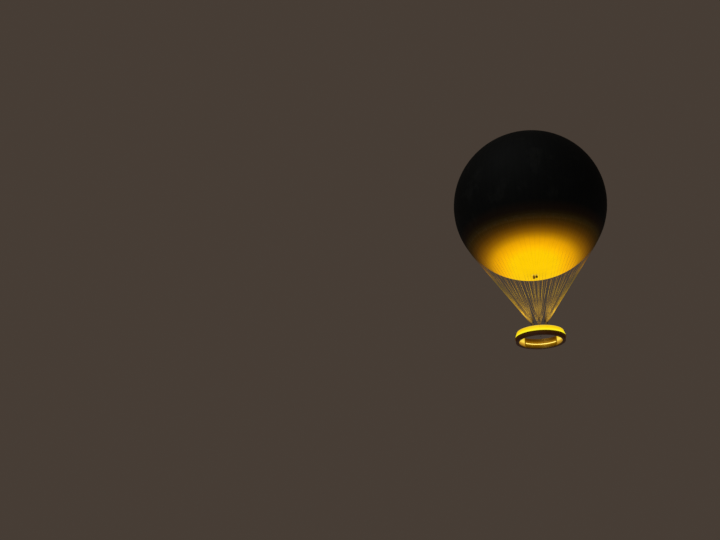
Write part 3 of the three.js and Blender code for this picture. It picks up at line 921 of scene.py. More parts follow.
def rope(length):
    """A braided rope along +Z with a splice at either end."""
    obj = spun("rope", [
        (0, 0), (LINE_R, 0), (SPLICE_R, 0.05), (SPLICE_R, 0.34), (LINE_R, 0.44), (LINE_R, length * 0.5),
        (LINE_R, length - 0.5), (SPLICE_R, length - 0.38), (SPLICE_R, length - 0.02), (LINE_R, length),
        (0, length),
    ], ROPE_SIDES)
    place = obj.data.attributes.new("rope_place", "FLOAT_VECTOR", "POINT")
    for corner, value in zip(obj.data.vertices, place.data):
        value.vector = corner.co
    return painted(obj, ROPE)


# %% One fan
EYE_R = 0.03
EYE_THICK = 0.006
CLAMP_SIZE = Vector((0.24, 0.06, 0.1))
CLAMP_BOLT_PITCH = 0.075


def eye(middle):
    """A steel ring that lies flat on the sphere. Its steel is painted near black as painted shade."""
    tilt = middle.normalized().to_track_quat("Z", "X").to_euler()
    return painted(hoop(EYE_R, EYE_THICK, 16, 6, middle, tilt), STEEL_DARK_AS_PAINTED_SHADE)


def clamp():
    """The plate that gathers eight lines, with a raised socket bar and three clamping bolts a side."""
    body = block("clamp", CLAMP_SIZE, (0, -LOAD_R, CLAMP_Z), 0.012, 3)
    pick_faces(body, lambda normal: normal.z > 0.99)
    bpy.ops.mesh.inset(thickness=0.006)
    bpy.ops.mesh.extrude_region_move(TRANSFORM_OT_translate={"value": (0, 0, 0.012)})
    bpy.ops.object.mode_set(mode="OBJECT")
    parts = [body]
    for side in (-1, 1):
        for i in (-1, 0, 1):
            start = (i * CLAMP_BOLT_PITCH, -LOAD_R + side * CLAMP_SIZE.y / 2, CLAMP_Z - 0.015)
            parts.append(aimed(bolt(0.011, 0.009), start, (0, side, 0)))
    return [painted(part, STEEL) for part in parts]


fan_parts = clamp()
for index in range(LINES_PER_FAN):
    foot, touch, _ = line_ends(index - OUTER_STEP)
    along = (touch - foot).normalized()
    socket = spun("socket", [(0, 0), (0.0185, 0), (0.0185, 0.075), (0.016, 0.085), (0, 0.085)], 12)
    fan_parts += [
        laid(rope((touch - foot).length - 0.03), foot, touch),
        eye(touch),
        painted(aimed(socket, foot + along * 0.04, along), STEEL),
    ]
dress_round(joined("fan_1", fan_parts), "fan", "rope", "suspension_fan")

# %% [markdown]
# ## Load ring
# A bent steel tube that takes all the clamps on eight lugs. The tube is a ring with many sides, and each
# lug is a rounded block with a weld bead where it meets the tube and a pin across it.

# %% Load ring
RING_Z = -20.95
LOAD_RING_Z = CLAMP_Z - 0.13
TUBE_R = 0.038
LUG_TOP = CLAMP_Z - CLAMP_SIZE.z / 2 - SEAT
LUG_LOW = LOAD_RING_Z - 0.07
LUG_DEEP = 0.09
tube = hoop(LOAD_R, TUBE_R, 160, 16, (0, 0, LOAD_RING_Z))
lug_size = (0.13, LUG_DEEP, LUG_TOP - LUG_LOW)
lug_parts = [block("lug", lug_size, (0, -LOAD_R, (LUG_TOP + LUG_LOW) / 2), 0.01, 3)]
for side in (-1, 1):
    bead = spun("bead", [(0.036, -0.008), (0.046, 0), (0.036, 0.008)], 24)
    lug_parts += [
        aimed(bead, (side * 0.067, -LOAD_R, LOAD_RING_Z), (side, 0, 0)),
        aimed(bolt(0.016, 0.014), (side * 0.065, -LOAD_R, LUG_TOP - 0.022), (side, 0, 0)),
    ]
lugs = around(joined("lug", lug_parts), FANS)
load_ring = painted(joined("load_ring_welded", [tube, lugs]), STEEL)
dress(load_ring, "balloon", "steel", "load_ring")

# %% [markdown]
# ## Hangers
# A hanger is a steel rod with a turnbuckle near its lower end, so that the ring can be levelled, and a
# fork with a pin at either end.

# %% Hangers
POST_R = 3.015
POST_TOP = RING_Z + 1.41
FITTING = 0.064
PIN_R = 0.012


def fork(middle, size):
    """A clevis: a block whose middle is cut away by a slot, with a pin across."""
    body = block("fork", (size, size, size), middle, size * 0.12, 2)
    pick_faces(body, lambda normal: abs(normal.x) > 0.99)
    bpy.ops.mesh.inset(thickness=size * 0.16, use_individual=True)
    bpy.ops.mesh.extrude_region_shrink_fatten(TRANSFORM_OT_shrink_fatten={"value": -size * 0.07})
    bpy.ops.object.mode_set(mode="OBJECT")
    pin_start = Vector(middle) - Vector((size / 2 - 0.001, 0, 0))
    return [body, aimed(cylinder("pin", PIN_R, 0, size - 0.002, 12), pin_start, (1, 0, 0))]


def hanger():
    top = Vector((0, -LOAD_R, LUG_LOW - SEAT - FITTING / 2))
    low = Vector((0, -POST_R, POST_TOP + SEAT + FITTING / 2))
    length = (top - low).length
    rod = spun("rod", [
        (0, 0), (0.013, 0), (0.013, 0.3), (0.021, 0.302), (0.021, 0.322), (0.028, 0.33), (0.03, 0.35),
        (0.03, 0.64), (0.028, 0.66), (0.021, 0.668), (0.021, 0.688), (0.013, 0.69),
        (0.013, length - 0.12), (0.018, length - 0.11), (0.018, length), (0, length),
    ], 14)
    return joined("hanger_rod_1", [laid(rod, low, top), *fork(top, FITTING), *fork(low, FITTING)])


dress_round(painted(hanger(), STEEL), "hanger_rod", "steel", "hanger")

# %% [markdown]
# ## Bridle and swivel
# Eight wire legs take the balloon's pull from the load ring down to a turned hub. The swivel hangs in the
# hub on a collar and ends in a fork. The flat link in the fork is where the balloon is held.

# %% Bridle
HUB_LOW = RING_Z + 0.85
HUB_HIGH = RING_Z + 0.99
BRIDLE_FORK = 0.056
BRIDLE_FOOT_R = LOAD_R - LUG_DEEP / 2 - SEAT - BRIDLE_FORK / 2
HUB_BOLTS = 16
hub = spun("hub", wall(lifted(HUB_LOW, [
    (0.032, 0), (0.1, 0), (0.11, 0.01), (0.11, 0.04), (0.102, 0.05), (0.102, 0.09), (0.11, 0.1),
    (0.11, 0.13), (0.1, 0.14), (0.032, 0.14),
])), 64)
leg_top = Vector((0, -BRIDLE_FOOT_R, LOAD_RING_Z))
leg_low = Vector((0, -0.08, (HUB_LOW + HUB_HIGH) / 2))
leg_length = (leg_top - leg_low).length
leg = spun("leg", [
    (0, 0), (0.022, 0), (0.022, 0.2), (0.017, 0.22), (0.0145, 0.24), (0.0145, leg_length - 0.24),
    (0.017, leg_length - 0.22), (0.022, leg_length - 0.2), (0.022, leg_length), (0, leg_length),
], 12)
legs = around(joined("leg", [laid(leg, leg_low, leg_top), *fork(leg_top, BRIDLE_FORK)]), FANS)
hub_bolts = bolt_circle(bolt(0.009, 0.008), 0.085, HUB_HIGH, HUB_BOLTS)
bridle = painted(joined("bridle_wires", [hub, legs, hub_bolts]), STEEL)
dress(bridle, "balloon", "steel", "bridle")

# %% Swivel
BODY_LOW = HUB_LOW - 0.126
PIN_Z = BODY_LOW - 0.064
COLLAR_LOW = HUB_HIGH + 0.0005
below_hub = lifted(BODY_LOW, [
    (0, 0), (0.07, 0), (0.082, 0.012), (0.082, 0.05), (0.077, 0.055), (0.077, 0.065), (0.082, 0.07),
    (0.082, 0.108), (0.07, 0.12), (0.03, 0.12),
])
collar = lifted(COLLAR_LOW, [
    (0.03, 0), (0.068, 0), (0.072, 0.004), (0.072, 0.024), (0.066, 0.03), (0.02, 0.03), (0.016, 0.024),
    (0, 0.024),
])
swivel_parts = [spun("spindle", below_hub + collar, 48)]
for side in (-1, 1):
    swivel_parts += [
        block("ear", (0.024, 0.1, 0.121), (side * 0.045, 0, PIN_Z + 0.0155), 0.008, 3),
        aimed(bolt(0.028, 0.012, 1.25), (side * 0.0565, 0, PIN_Z), (side, 0, 0)),
    ]
swivel_parts.append(aimed(cylinder("pin", 0.02, 0, 0.13, 32), (-0.065, 0, PIN_Z), (1, 0, 0)))
swivel = painted(joined("swivel_turned", swivel_parts), STEEL)
dress(swivel, "swivel", "steel", "swivel")

# %% Tether link
LINK_LENGTH = 0.3
LINK_R = 0.055
LINK_THICK = 0.05
link_ends = (PIN_Z, PIN_Z - LINK_LENGTH)
corners = []
for middle, start in zip(link_ends, (0, 180)):
    for i in range(17):
        a = math.radians(start + i * 180 / 16)
        corners.append((0.0, LINK_R * math.cos(a), middle + LINK_R * math.sin(a)))
link = drawn("tether_link_forged", wall(corners))
bpy.ops.mesh.edge_face_add()
bpy.ops.mesh.extrude_region_move(TRANSFORM_OT_translate={"value": (LINK_THICK, 0, 0)})
bpy.ops.mesh.select_all(action="SELECT")
bpy.ops.transform.translate(value=(-LINK_THICK / 2, 0, 0))
bpy.ops.mesh.normals_make_consistent(inside=False)
bpy.ops.object.mode_set(mode="OBJECT")
for z, hole_r in zip(link_ends, (0.0206, 0.032)):
    drilled(link, aimed(cylinder("drill", hole_r, -0.1, 0.1, 32), (0, 0, z), (1, 0, 0)))
apply(link, "BEVEL", width=0.004, segments=2, limit_method="ANGLE", angle_limit=math.radians(50))
dress(painted(link, STEEL), "tether_link", "steel", "tether_link")

# %% [markdown]
# ## Ring trough
# The lit ring stands on a trough of dark painted sheet. Its underside is the dark band that shows from
# the ground. The sheet is bent from plates, so it has butt straps and rivets, and drain holes with lips.

# %% Ring trough
INNER_R = 2.944
OUTER_R = 3.356
SMOOTH = 160
STRAPS = 16
DRAINS = 24


def ring_height(z):
    return RING_Z + z


def ring_sheet(name, points, steps=SMOOTH, start=0.0, span=360.0):
    """A bent sheet or bar. Its outline closes on itself, with heights from the ring's underside."""
    return spun(name, wall(lifted(RING_Z, points)), steps, start, span)


def rivet(high, head_r, rim_r):
    """A flat round head, made along +Z from the origin."""
    return spun("rivet", [(0, high), (head_r, high * 0.8), (rim_r, 0)], 6)


trough = ring_sheet("trough", [
    (INNER_R, 0.004), (INNER_R + 0.004, 0), (OUTER_R - 0.01, 0), (OUTER_R - 0.003, 0.003), (OUTER_R, 0.01),
    (OUTER_R, 0.538), (3.471, 0.538), (3.475, 0.541), (3.475, 0.547), (3.471, 0.55), (3.344, 0.55),
    (3.344, 0.012), (2.984, 0.012), (2.984, 0.09), (2.97, 0.09), (2.97, 0.012), (INNER_R, 0.012),
])
strap_size = (0.09, OUTER_R - INNER_R - 0.012, 0.004)
strap_parts = [
    block("strap", strap_size, (0, -3.15, ring_height(-0.0015)), 0.0012, 1),
    block("strap", (0.09, 0.004, 0.53), (0, -OUTER_R - 0.001, ring_height(0.272)), 0.0012, 1),
]
for x in (-0.03, 0.03):
    for i in range(5):
        low_place = (x, -3.0 - i * 0.075, ring_height(-0.003))
        side_place = (x, -OUTER_R - 0.003, ring_height(0.06 + i * 0.105))
        strap_parts += [
            aimed(rivet(0.005, 0.006, 0.009), low_place, (0, 0, -1)),
            aimed(rivet(0.005, 0.006, 0.009), side_place, (0, -1, 0)),
        ]
straps = around(turned(joined("strap", strap_parts), 180 / STRAPS), STRAPS)
drain = spun("drain", wall([(0.014, -0.006), (0.022, -0.006), (0.024, 0.0), (0.014, 0.0)]), 12)
drains = around(moved(drain, (0, -3.22, RING_Z)), DRAINS)
bead = ring_sheet("bead", [(3.354, 0.02), (3.362, 0.026), (3.362, 0.034), (3.354, 0.04)])
ribs = around(block("rib", (0.014, 0.34, 0.49), (0, -3.1715, ring_height(0.2515)), 0.002, 1), FANS)
trough = painted(joined("trough_riveted", [trough, straps, drains, bead, ribs]), DARK_PAINT)
dress(trough, "balloon", "dark_paint", "ring_trough")

# %% [markdown]
# ## Lit and gold panels
# Inside, the ring is lined with eight panels: four at the sides are lit all over and four at the front
# and back are plain gold-toned sheet with upright folds. Outside, eight panels lean in as they rise and
# glow all over. All are sheets bent to the ring's round, so each is an outline spun over an eighth.

# %% Lit material
WALL_TOP = 1.38


def ring_ramp(tree, stops, low, high):
    """A ramp over the heights from low to high above the ring's underside."""
    height = split(tree, object_place(tree))["Z"]
    return ramp(tree, spread(tree, height, RING_Z + low, RING_Z + high), stops)


def build_lit(name, stops, strength, low, high, body=0.05, border=0.0):
    """A diffusing panel. The stops give its light by height. It can be dark along its upright ends."""
    made, tree, shader = new_material(name, stops[len(stops) // 2][1])
    glow = ring_ramp(tree, stops, low, high)
    cloud = effect(tree, STAINS, Scale=2.0, Cover=0.5)
    glow = mix(tree, cloud["Mask"], glow, mix(tree, 0.07, glow, BLACK))
    if border:
        ends = effect(tree, MERIDIANS, Count=4.0, Shift=0.5, Width=border)["Mask"]
        glow = mix(tree, spread(tree, ends, 0.0, 0.12, True), glow, (0.16, 0.07, 0.0))
    low_tone = (body, body * 0.6, 0.001)
    high_tone = (body * 1.3, body * 0.85, 0.002)
    fill(shader, {
        "Base Color": mix(tree, cloud["Height"], low_tone, high_tone),
        "Roughness": 0.55,
        "Specular IOR Level": 0.1,
        "Emission Color": glow,
        "Emission Strength": strength,
    })
    relief(tree, shader, noise(tree, 60.0), 0.1, 0.001)
    return made


GLOWING = build_lit("glowing_panel", [
    (0.0, (1.0, 0.87, 0.02)), (0.2, (1.0, 0.87, 0.015)), (0.5, (0.97, 0.69, 0.002)),
    (0.85, (0.87, 0.59, 0.006)), (1.0, (0.88, 0.58, 0.056)),
], 1.0, 0.55, 1.35)
SIDE_LIT = build_lit("lit_side_panel", [
    (0.0, (0.03, 0.014, 0.0)), (0.062, (0.04, 0.018, 0.0)), (0.075, (0.25, 0.12, 0.005)),
    (0.15, (0.32, 0.17, 0.02)), (0.33, (0.6, 0.32, 0.02)), (0.45, (0.92, 0.62, 0.06)),
    (0.58, (1.0, 0.75, 0.09)), (0.8, (0.92, 0.62, 0.03)), (1.0, (0.95, 0.66, 0.06)),
], 1.0, 0.0, WALL_TOP, border=0.2)
STRIP_LIT = build_lit("opal_strip", [
    (0.0, (1.0, 0.76, 0.16)), (0.5, (1.0, 0.79, 0.16)), (1.0, (1.0, 0.76, 0.16)),
], 1.9, 0.57, 0.66, body=0.3)
LENS = build_lit("lamp_lens", [(0.0, (1.0, 0.8, 0.3)), (1.0, (1.0, 0.86, 0.45))], 4.0, 0.6, 0.9, body=0.3)

# %% Gold sheet
GOLD_STOPS = [  # a share of the wall's height, and the light that the sheet sends back there
    (0.0, (0.008, 0.003, 0.0)), (0.062, (0.01, 0.004, 0.0)), (0.075, (0.05, 0.024, 0.0)),
    (0.12, (0.065, 0.03, 0.0)), (0.22, (0.11, 0.052, 0.0)), (0.33, (0.25, 0.14, 0.0)),
    (0.37, (0.45, 0.28, 0.005)), (0.5, (0.42, 0.25, 0.005)), (0.64, (0.24, 0.1, 0.0)),
    (0.75, (0.11, 0.045, 0.0)), (0.86, (0.065, 0.024, 0.0)), (0.96, (0.06, 0.022, 0.0)),
    (1.0, (0.12, 0.05, 0.0)),
]


def build_gold():
    made, tree, shader = new_material("gold_sheet", (0.55, 0.36, 0.06))
    seams = effect(tree, MERIDIANS, Count=48.0, Shift=0.0, Width=0.012)["Mask"]
    grain = effect(tree, GRAIN, Scale=25.0, Flat=0.5)["Mask"]
    stains = effect(tree, STAINS, Scale=3.0, Cover=0.6)["Mask"]
    streaks = effect(tree, STREAKS, Count=150.0, Long=0.5)["Mask"]
    lit = ring_ramp(tree, GOLD_STOPS, 0.0, WALL_TOP)
    brown = {"Fac": 1.0, "Color1": lit, "Color2": (0.9, 0.68, 0.5)}
    brown = add(tree, "MixRGB", {"blend_type": "MULTIPLY"}, brown).outputs["Color"]
    lit = mix(tree, streaks, lit, brown)
    lit = mix(tree, times(tree, seams, 0.3), lit, (0.03, 0.015, 0.0))
    lit = mix(tree, times(tree, stains, 0.2), lit, (0.06, 0.03, 0.0))
    base = mix(tree, grain, (0.11, 0.07, 0.009), (0.16, 0.105, 0.015))
    fill(shader, {
        "Base Color": mix(tree, seams, base, (0.04, 0.024, 0.003)),
        "Metallic": 0.85,
        "Roughness": scaled(tree, grain, 0.2, 0.26),
        "Specular IOR Level": 0.2,
        "Emission Color": lit,
        "Emission Strength": 1.0,
    })
    relief(tree, shader, scaled(tree, grain, 0.05, seams), 0.6, 0.006)
    return made


GOLD = build_gold()

# %% Inner panels
PANELS = 8
PANEL_DEG = 360 / PANELS
PANEL_GAP = 0.1
PANEL_SPAN = (18, PANEL_GAP / 2, PANEL_DEG - PANEL_GAP)  # steps, first azimuth and span
FOLD_STEPS = 6
EDGE_IN = PANEL_GAP / 2 + 0.35


def inner_panel(name, material, folded):
    """A bent sheet with a rolled upper hem and, if folded, an upright rib at each fold."""
    parts = [ring_sheet(name, [
        (2.944, 0.0124), (2.9475, 0.0124), (2.9475, WALL_TOP - 0.018), (2.956, WALL_TOP - 0.014),
        (2.96, WALL_TOP - 0.008), (2.956, WALL_TOP - 0.0005), (2.95, WALL_TOP), (2.945, WALL_TOP - 0.004),
        (2.944, WALL_TOP - 0.012),
    ], *PANEL_SPAN)]
    for azimuth in (EDGE_IN, PANEL_DEG - EDGE_IN):
        post = block("edge", (0.03, 0.016, 1.35), (0, -2.952, ring_height(0.6875)), 0.002, 1)
        parts.append(turned(post, azimuth))
    for i in range(1, FOLD_STEPS if folded else 1):
        fold = block("fold", (0.016, 0.006, 0.52), (0, -2.9415, ring_height(0.28)), 0.0018, 1)
        parts.append(turned(fold, i * PANEL_DEG / FOLD_STEPS))
    for i in range(FOLD_STEPS):
        at = polar(INNER_R, (i + 0.5) * PANEL_DEG / FOLD_STEPS, ring_height(0.04))
        screw = spun("screw", [(0, 0.003), (0.005, 0.0025), (0.007, 0)], 6)
        parts.append(aimed(screw, at, (-at.x, -at.y, 0)))
    return painted(joined(name, parts), material)


def dress_panel(source, i, name, slot, node):
    """Copies a panel from the first eighth of the ring to another one."""
    piece = turned(twin(source, f"{name}_{i + 1}"), i * PANEL_DEG)
    dress(piece, "balloon", slot, f"{node}_{i + 1}")


plain_panel = inner_panel("gold_panel", GOLD, True)
lit_panel = inner_panel("lit_panel", SIDE_LIT, False)
for i in range(PANELS):
    aside = abs(math.sin(math.radians((i + 0.5) * PANEL_DEG))) > math.sqrt(0.5)
    source, slot = (lit_panel, "lit_panel") if aside else (plain_panel, "gold_metal")
    dress_panel(source, i, "inner_sheet", slot, "inner_panel")
bpy.data.objects.remove(plain_panel)
bpy.data.objects.remove(lit_panel)

# %% Glow panels
LEAN = 0.286
GLOW_HIGH = 0.8
BATTENS = 3
glow_parts = [ring_sheet("outer_panel", [
    (3.44, 0.5503), (3.466, 0.5503), (3.464, 0.57), (3.4535, 0.578), (3.186, 1.326), (3.187, 1.336),
    (3.18, 1.35), (3.154, 1.35),
], *PANEL_SPAN)]
for i in range(1, BATTENS + 1):
    batten = block("batten", (0.02, 0.006, 0.79), (0, 0, 0), 0.002, 1)
    aimed(batten, (0, -3.3205, ring_height(0.952)), (0, LEAN / GLOW_HIGH, 1))
    glow_parts.append(turned(batten, i * PANEL_DEG / (BATTENS + 1)))
outer_panel = painted(joined("outer_panel", glow_parts), GLOWING)
for i in range(PANELS):
    dress_panel(outer_panel, i, "glow_sheet", "lit_panel", "glow_panel")
bpy.data.objects.remove(outer_panel)

# %% [markdown]
# ## Light strips
# A strip of lights in an aluminium channel crosses the gold panels at the front and the back.

# %% Light strips
STRIP_R = INNER_R - 0.0006
STRIP_SPAN = 89.8


def strip_part(name, deep_points, start, span):
    """A bar of the strip. Its outline is given as (depth from the wall, height) points."""
    return ring_sheet(name, [(STRIP_R - deep, z) for deep, z in deep_points], 36, start, span)


for name, middle in (("front", 0), ("back", 180)):
    start = middle - STRIP_SPAN / 2
    channel = strip_part("channel", [
        (0, 0.57), (0, 0.66), (0.015, 0.66), (0.015, 0.655), (0.004, 0.65), (0.004, 0.58), (0.015, 0.575),
        (0.015, 0.57),
    ], start, STRIP_SPAN)
    cover = strip_part("cover", [
        (0.0035, 0.581), (0.0035, 0.649), (0.0095, 0.645), (0.0125, 0.632), (0.0135, 0.615),
        (0.0125, 0.598), (0.0095, 0.585),
    ], start + 0.1, STRIP_SPAN - 0.2)
    strip = joined(f"opal_strip_{name}", [painted(channel, ALUMINIUM), painted(cover, STRIP_LIT)])
    dress(strip, "balloon", "light_strip", f"light_strip_{name}")

# %% [markdown]
# ## Lamp deck, lamps and mist pipes
# On the deck stand forty lamps that light the balloon from below, and eight posts that the hangers hold.
# Two pipes with nozzles lie on the posts' arms. A lamp is one outline with cooling fins, spun with 20
# sides, and a nozzle is tiny, with a few faces.

# %% Lamp deck
POST_LOW = 0.506
deck = ring_sheet("deck", [
    (2.978, 0.5), (3.322, 0.5), (3.322, 0.512), (3.31, 0.512), (3.31, 0.509), (2.99, 0.509), (2.99, 0.512),
    (2.978, 0.512),
])
post_high = POST_TOP - ring_height(POST_LOW)
post_parts = [
    block("post", (0.08, 0.06, post_high), (0, -POST_R, ring_height(POST_LOW) + post_high / 2), 0.006, 2),
    block("arm", (0.05, 0.21, 0.03), (0, -3.13, ring_height(1.095)), 0.004, 2),
    block("foot", (0.12, 0.062, 0.008), (0, -POST_R, ring_height(0.514)), 0.002, 1),
    block("gusset", (0.008, 0.1, 0.1), (0, -3.08, ring_height(1.05)), 0.002, 1),
]
for x in (-0.049, 0.049):
    post_parts.append(moved(bolt(0.008, 0.007, 1.3), (x, -POST_R, ring_height(0.518))))
posts = around(joined("post", post_parts), FANS)
deck = painted(joined("deck_with_posts", [deck, posts]), DARK_PAINT)
dress(deck, "balloon", "dark_paint", "lamp_deck")

# %% Lamps
LAMPS = 40
LAMP_RING_R = 3.12
TRAY_LOW = 0.5123
TRAY_Z = ring_height(TRAY_LOW)
tray = spun("tray", wall(lifted(TRAY_Z, [
    (3.074, 0), (3.166, 0), (3.166, 0.016), (3.162, 0.016), (3.162, 0.006), (3.078, 0.006), (3.078, 0.016),
    (3.074, 0.016),
])), SMOOTH)
lamp_outline = [(0, 0.018), (0.05, 0.018), (0.05, 0.03)]
for i in range(5):
    low = 0.034 + i * 0.02
    lamp_outline += [(0.078, low), (0.078, low + 0.007), (0.064, low + 0.009), (0.064, low + 0.018)]
lamp_outline += [
    (0.076, 0.136), (0.082, 0.15), (0.082, 0.192), (0.079, 0.197), (0.071, 0.197), (0.07, 0.18), (0, 0.18),
]
lamp = spun("lamp", lifted(TRAY_Z, lamp_outline), 20)
lens = spun("lens", lifted(TRAY_Z, [
    (0, 0.179), (0.0695, 0.179), (0.0695, 0.185), (0.05, 0.193), (0.025, 0.1965), (0, 0.198),
]), 20)
yoke = block("yoke", (0.17, 0.03, 0.006), (0, 0, TRAY_Z + 0.014), 0.0015, 1)
unit = joined("unit", [painted(lamp, LAMP_BLACK), painted(lens, LENS), painted(yoke, LAMP_BLACK)])
moved(unit, (0, -LAMP_RING_R, 0))
around(turned(unit, 180 / LAMPS), LAMPS)
lamps = joined("lamps_on_tray", [painted(tray, LAMP_BLACK), unit])
dress(lamps, "balloon", "lamp_bodies", "lamp_ring")

# %% Mist pipes
PIPE_R = 0.022
PIPE_Z = ring_height(1.1103 + PIPE_R * math.cos(math.pi / 6))
NOZZLES = 120
for name, radius in (("inner", 3.08), ("outer", 3.2)):
    middle = Vector((0, -radius, PIPE_Z))
    pipe = hoop(radius, PIPE_R * 0.97, SMOOTH, 12, (0, 0, PIPE_Z))
    nozzle = spun("nozzle", [(0.009, 0), (0.009, 0.014), (0.006, 0.018), (0.004, 0.026), (0, 0.026)], 6)
    moved(nozzle, middle + Vector((0, 0, PIPE_R * 0.9)))
    around(turned(nozzle, 180 / NOZZLES), NOZZLES)
    union = spun("union", [
        (0, 0), (0.024, 0), (0.029, 0.003), (0.029, 0.027), (0.024, 0.03), (0.024, 0.05), (0.029, 0.053),
        (0.029, 0.077), (0.024, 0.08), (0, 0.08),
    ], 8)
    aimed(union, middle - Vector((0.04, 0, 0)), (1, 0, 0))
    around(turned(union, 180 / FANS), FANS)
    strap = spun("strap", wall([(0.0215, -0.012), (0.0245, -0.012), (0.0245, 0.012), (0.0215, 0.012)]), 12)
    around(aimed(strap, middle, (1, 0, 0)), FANS)
    pipe = painted(joined(f"mist_tube_{name}", [pipe, nozzle, union, strap]), STEEL)
    dress(pipe, "balloon", "steel", f"mist_pipe_{name}")

# %% [markdown]
# ## Crown plate and gas valve
# The cloth at the crown is clamped under a turned plate with a ring of bolts. A round lid closes the gas
# port in it, pressed down by its spring and lifted to let gas out. Four wings under the lid run in the
# port and keep it centred.

# %% Crown
CLEAR = 0.0006  # the gap between the sphere's cut edge and a plate
CROWN_Z = math.sqrt(ENVELOPE_R ** 2 - CROWN_HOLE_R ** 2) + CLEAR


def slope_drop(angle_low, angle_high, hole_r, brim_r):
    """How far the frame's sphere falls away from the rim of a hole at a plate's brim."""
    (r0, z0), (r1, z1) = sphere_outline(ENVELOPE_R, [angle_low, angle_high])
    return abs(z1 - z0) / abs(r1 - r0) * (brim_r - hole_r)


CROWN_BOLTS = 32
rim_angle = math.asin(CROWN_HOLE_R / ENVELOPE_R)
drop = slope_drop(rim_angle, rim_angle + (math.pi / 2 - rim_angle) / 7, CROWN_HOLE_R, 0.45)
crown = spun("crown", wall(lifted(CROWN_Z, [
    (0.21, 0), (0.33, 0), (0.447, -drop), (0.45, 0.003 - drop), (0.45, 0.011 - drop), (0.447, 0.014 - drop),
    (0.334, 0.014), (0.33, 0.014), (0.277, 0.014), (0.275, 0.016), (0.275, 0.018), (0.273, 0.02),
    (0.215, 0.02), (0.21, 0.016),
])), 96)
crown_bolt = bolt(0.012, 0.011)
laid(crown_bolt, (0, -0.39, CROWN_Z + 0.014 - drop / 2), (0, -0.39 - drop, CROWN_Z + 0.124))
around(crown_bolt, CROWN_BOLTS)
crown = painted(joined("crown_plate_turned", [crown, crown_bolt]), ALUMINIUM)
dress(crown, "balloon", "aluminium", "crown_plate")

# %% Crown valve lid
LID_LOW = CROWN_Z + 0.02 + SEAT
LID_HIGH = LID_LOW + 0.026
LID_RIBS = 12
LID_BOLTS = 12
WINGS = 4
WING_HIGH = 0.12
WING_IN = 0.0005
lid = spun("lid", lifted(LID_LOW, [
    (0, 0), (0.256, 0), (0.262, 0.004), (0.262, 0.009), (0.25, 0.02), (0.244, 0.026), (0.236, 0.026),
    (0.23, 0.02), (0.09, 0.02), (0.082, 0.026), (0.07, 0.026), (0.062, 0.046), (0.05, 0.06), (0, 0.06),
]), 96)
lid_ribs = around(block("rib", (0.012, 0.13, 0.008), (0, -0.16, LID_HIGH - 0.003), 0.002, 1), LID_RIBS)
lid_bolts = bolt_circle(bolt(0.007, 0.006), 0.24, LID_HIGH - 0.0005, LID_BOLTS)
wing = block("wing", (0.006, 0.06, WING_HIGH), (0, -0.174, LID_LOW + WING_IN - WING_HIGH / 2), 0.0015, 1)
lid = painted(joined("crown_lid_ribbed", [lid, lid_ribs, lid_bolts, around(wing, WINGS)]), ALUMINIUM)
dress(lid, "crown_valve", "aluminium", "crown_valve_lid")

# %% [markdown]
# ## Belly plate, blower and relief valve
# Under the belly hang two fittings: a blower that keeps the inner air cell full, in a lighter brown
# housing, and a dark relief valve. The blower's rotor turns behind a guard of fine rings.

# %% Belly plate
BELLY_TOP = -math.sqrt(ENVELOPE_R ** 2 - BELLY_HOLE_R ** 2) - CLEAR
BELLY_LOW = BELLY_TOP - 0.015
FIT_X = 0.186
PORT_R = 0.118
BELLY_BOLTS = 36
belly_angle = math.asin(BELLY_HOLE_R / ENVELOPE_R)
rise = slope_drop(belly_angle, belly_angle + (BELT_ANGLE - belly_angle) / 4, BELLY_HOLE_R, 0.52)
belly = spun("belly_plate_turned", lifted(BELLY_LOW, [
    (0, 0), (0.4, 0), (0.516, rise), (0.52, rise + 0.004), (0.52, rise + 0.011), (0.516, rise + 0.015),
    (0.4, 0.015), (0, 0.015),
]), 96)
for x in (-FIT_X, FIT_X):
    drilled(belly, moved(cylinder("drill", PORT_R, -0.05, 0.05, 48), (x, 0, BELLY_LOW)))
belly_bolt = bolt(0.012, 0.011)
slope_mid = BELLY_LOW + rise / 2
laid(belly_bolt, (0, -0.46, slope_mid), (0, -0.46 - rise, slope_mid - 0.12))
plate = [painted(belly, LIT_ALUMINIUM), painted(around(belly_bolt, BELLY_BOLTS), LIT_ALUMINIUM)]

# %% Necks
NECK_LOW = BELLY_LOW - 0.18
NECK_BOLTS = 12
neck = spun("neck", wall(lifted(NECK_LOW, [
    (PORT_R, 0.18), (PORT_R, 0), (0.163, 0), (0.165, 0.002), (0.165, 0.01), (0.163, 0.012), (0.134, 0.012),
    (0.13, 0.016), (0.13, 0.168), (0.136, 0.176), (0.142, 0.18),
])), 64)
neck_bolts = bolt_circle(bolt(0.007, 0.006), 0.149, NECK_LOW + 0.012, NECK_BOLTS)
neck = painted(moved(joined("neck", [neck, neck_bolts]), (-FIT_X, 0, 0)), ALUMINIUM)
other_neck = moved(twin(neck, "other_neck"), (2 * FIT_X, 0, 0))
belly = joined("belly_plate_turned", [*plate, neck, other_neck])
dress(belly, "balloon", "aluminium", "belly_plate")

# %% Blower housing
HANG_TOP = NECK_LOW - SEAT
BLOWER_LOW = HANG_TOP - 0.322
MOTOR_LOW = HANG_TOP - 0.13
GUARD_Z = BLOWER_LOW + 0.006
FINS = 18
SPOKES = 8
ARMS = 4
SIDE_BOLTS = 12


def side_bolts(radius):
    """A ring of small heads that stick out of a fitting's side."""
    z = HANG_TOP - 0.06
    return around(aimed(bolt(0.007, 0.006), (0, -radius, z), (0, -1, 0)), SIDE_BOLTS)


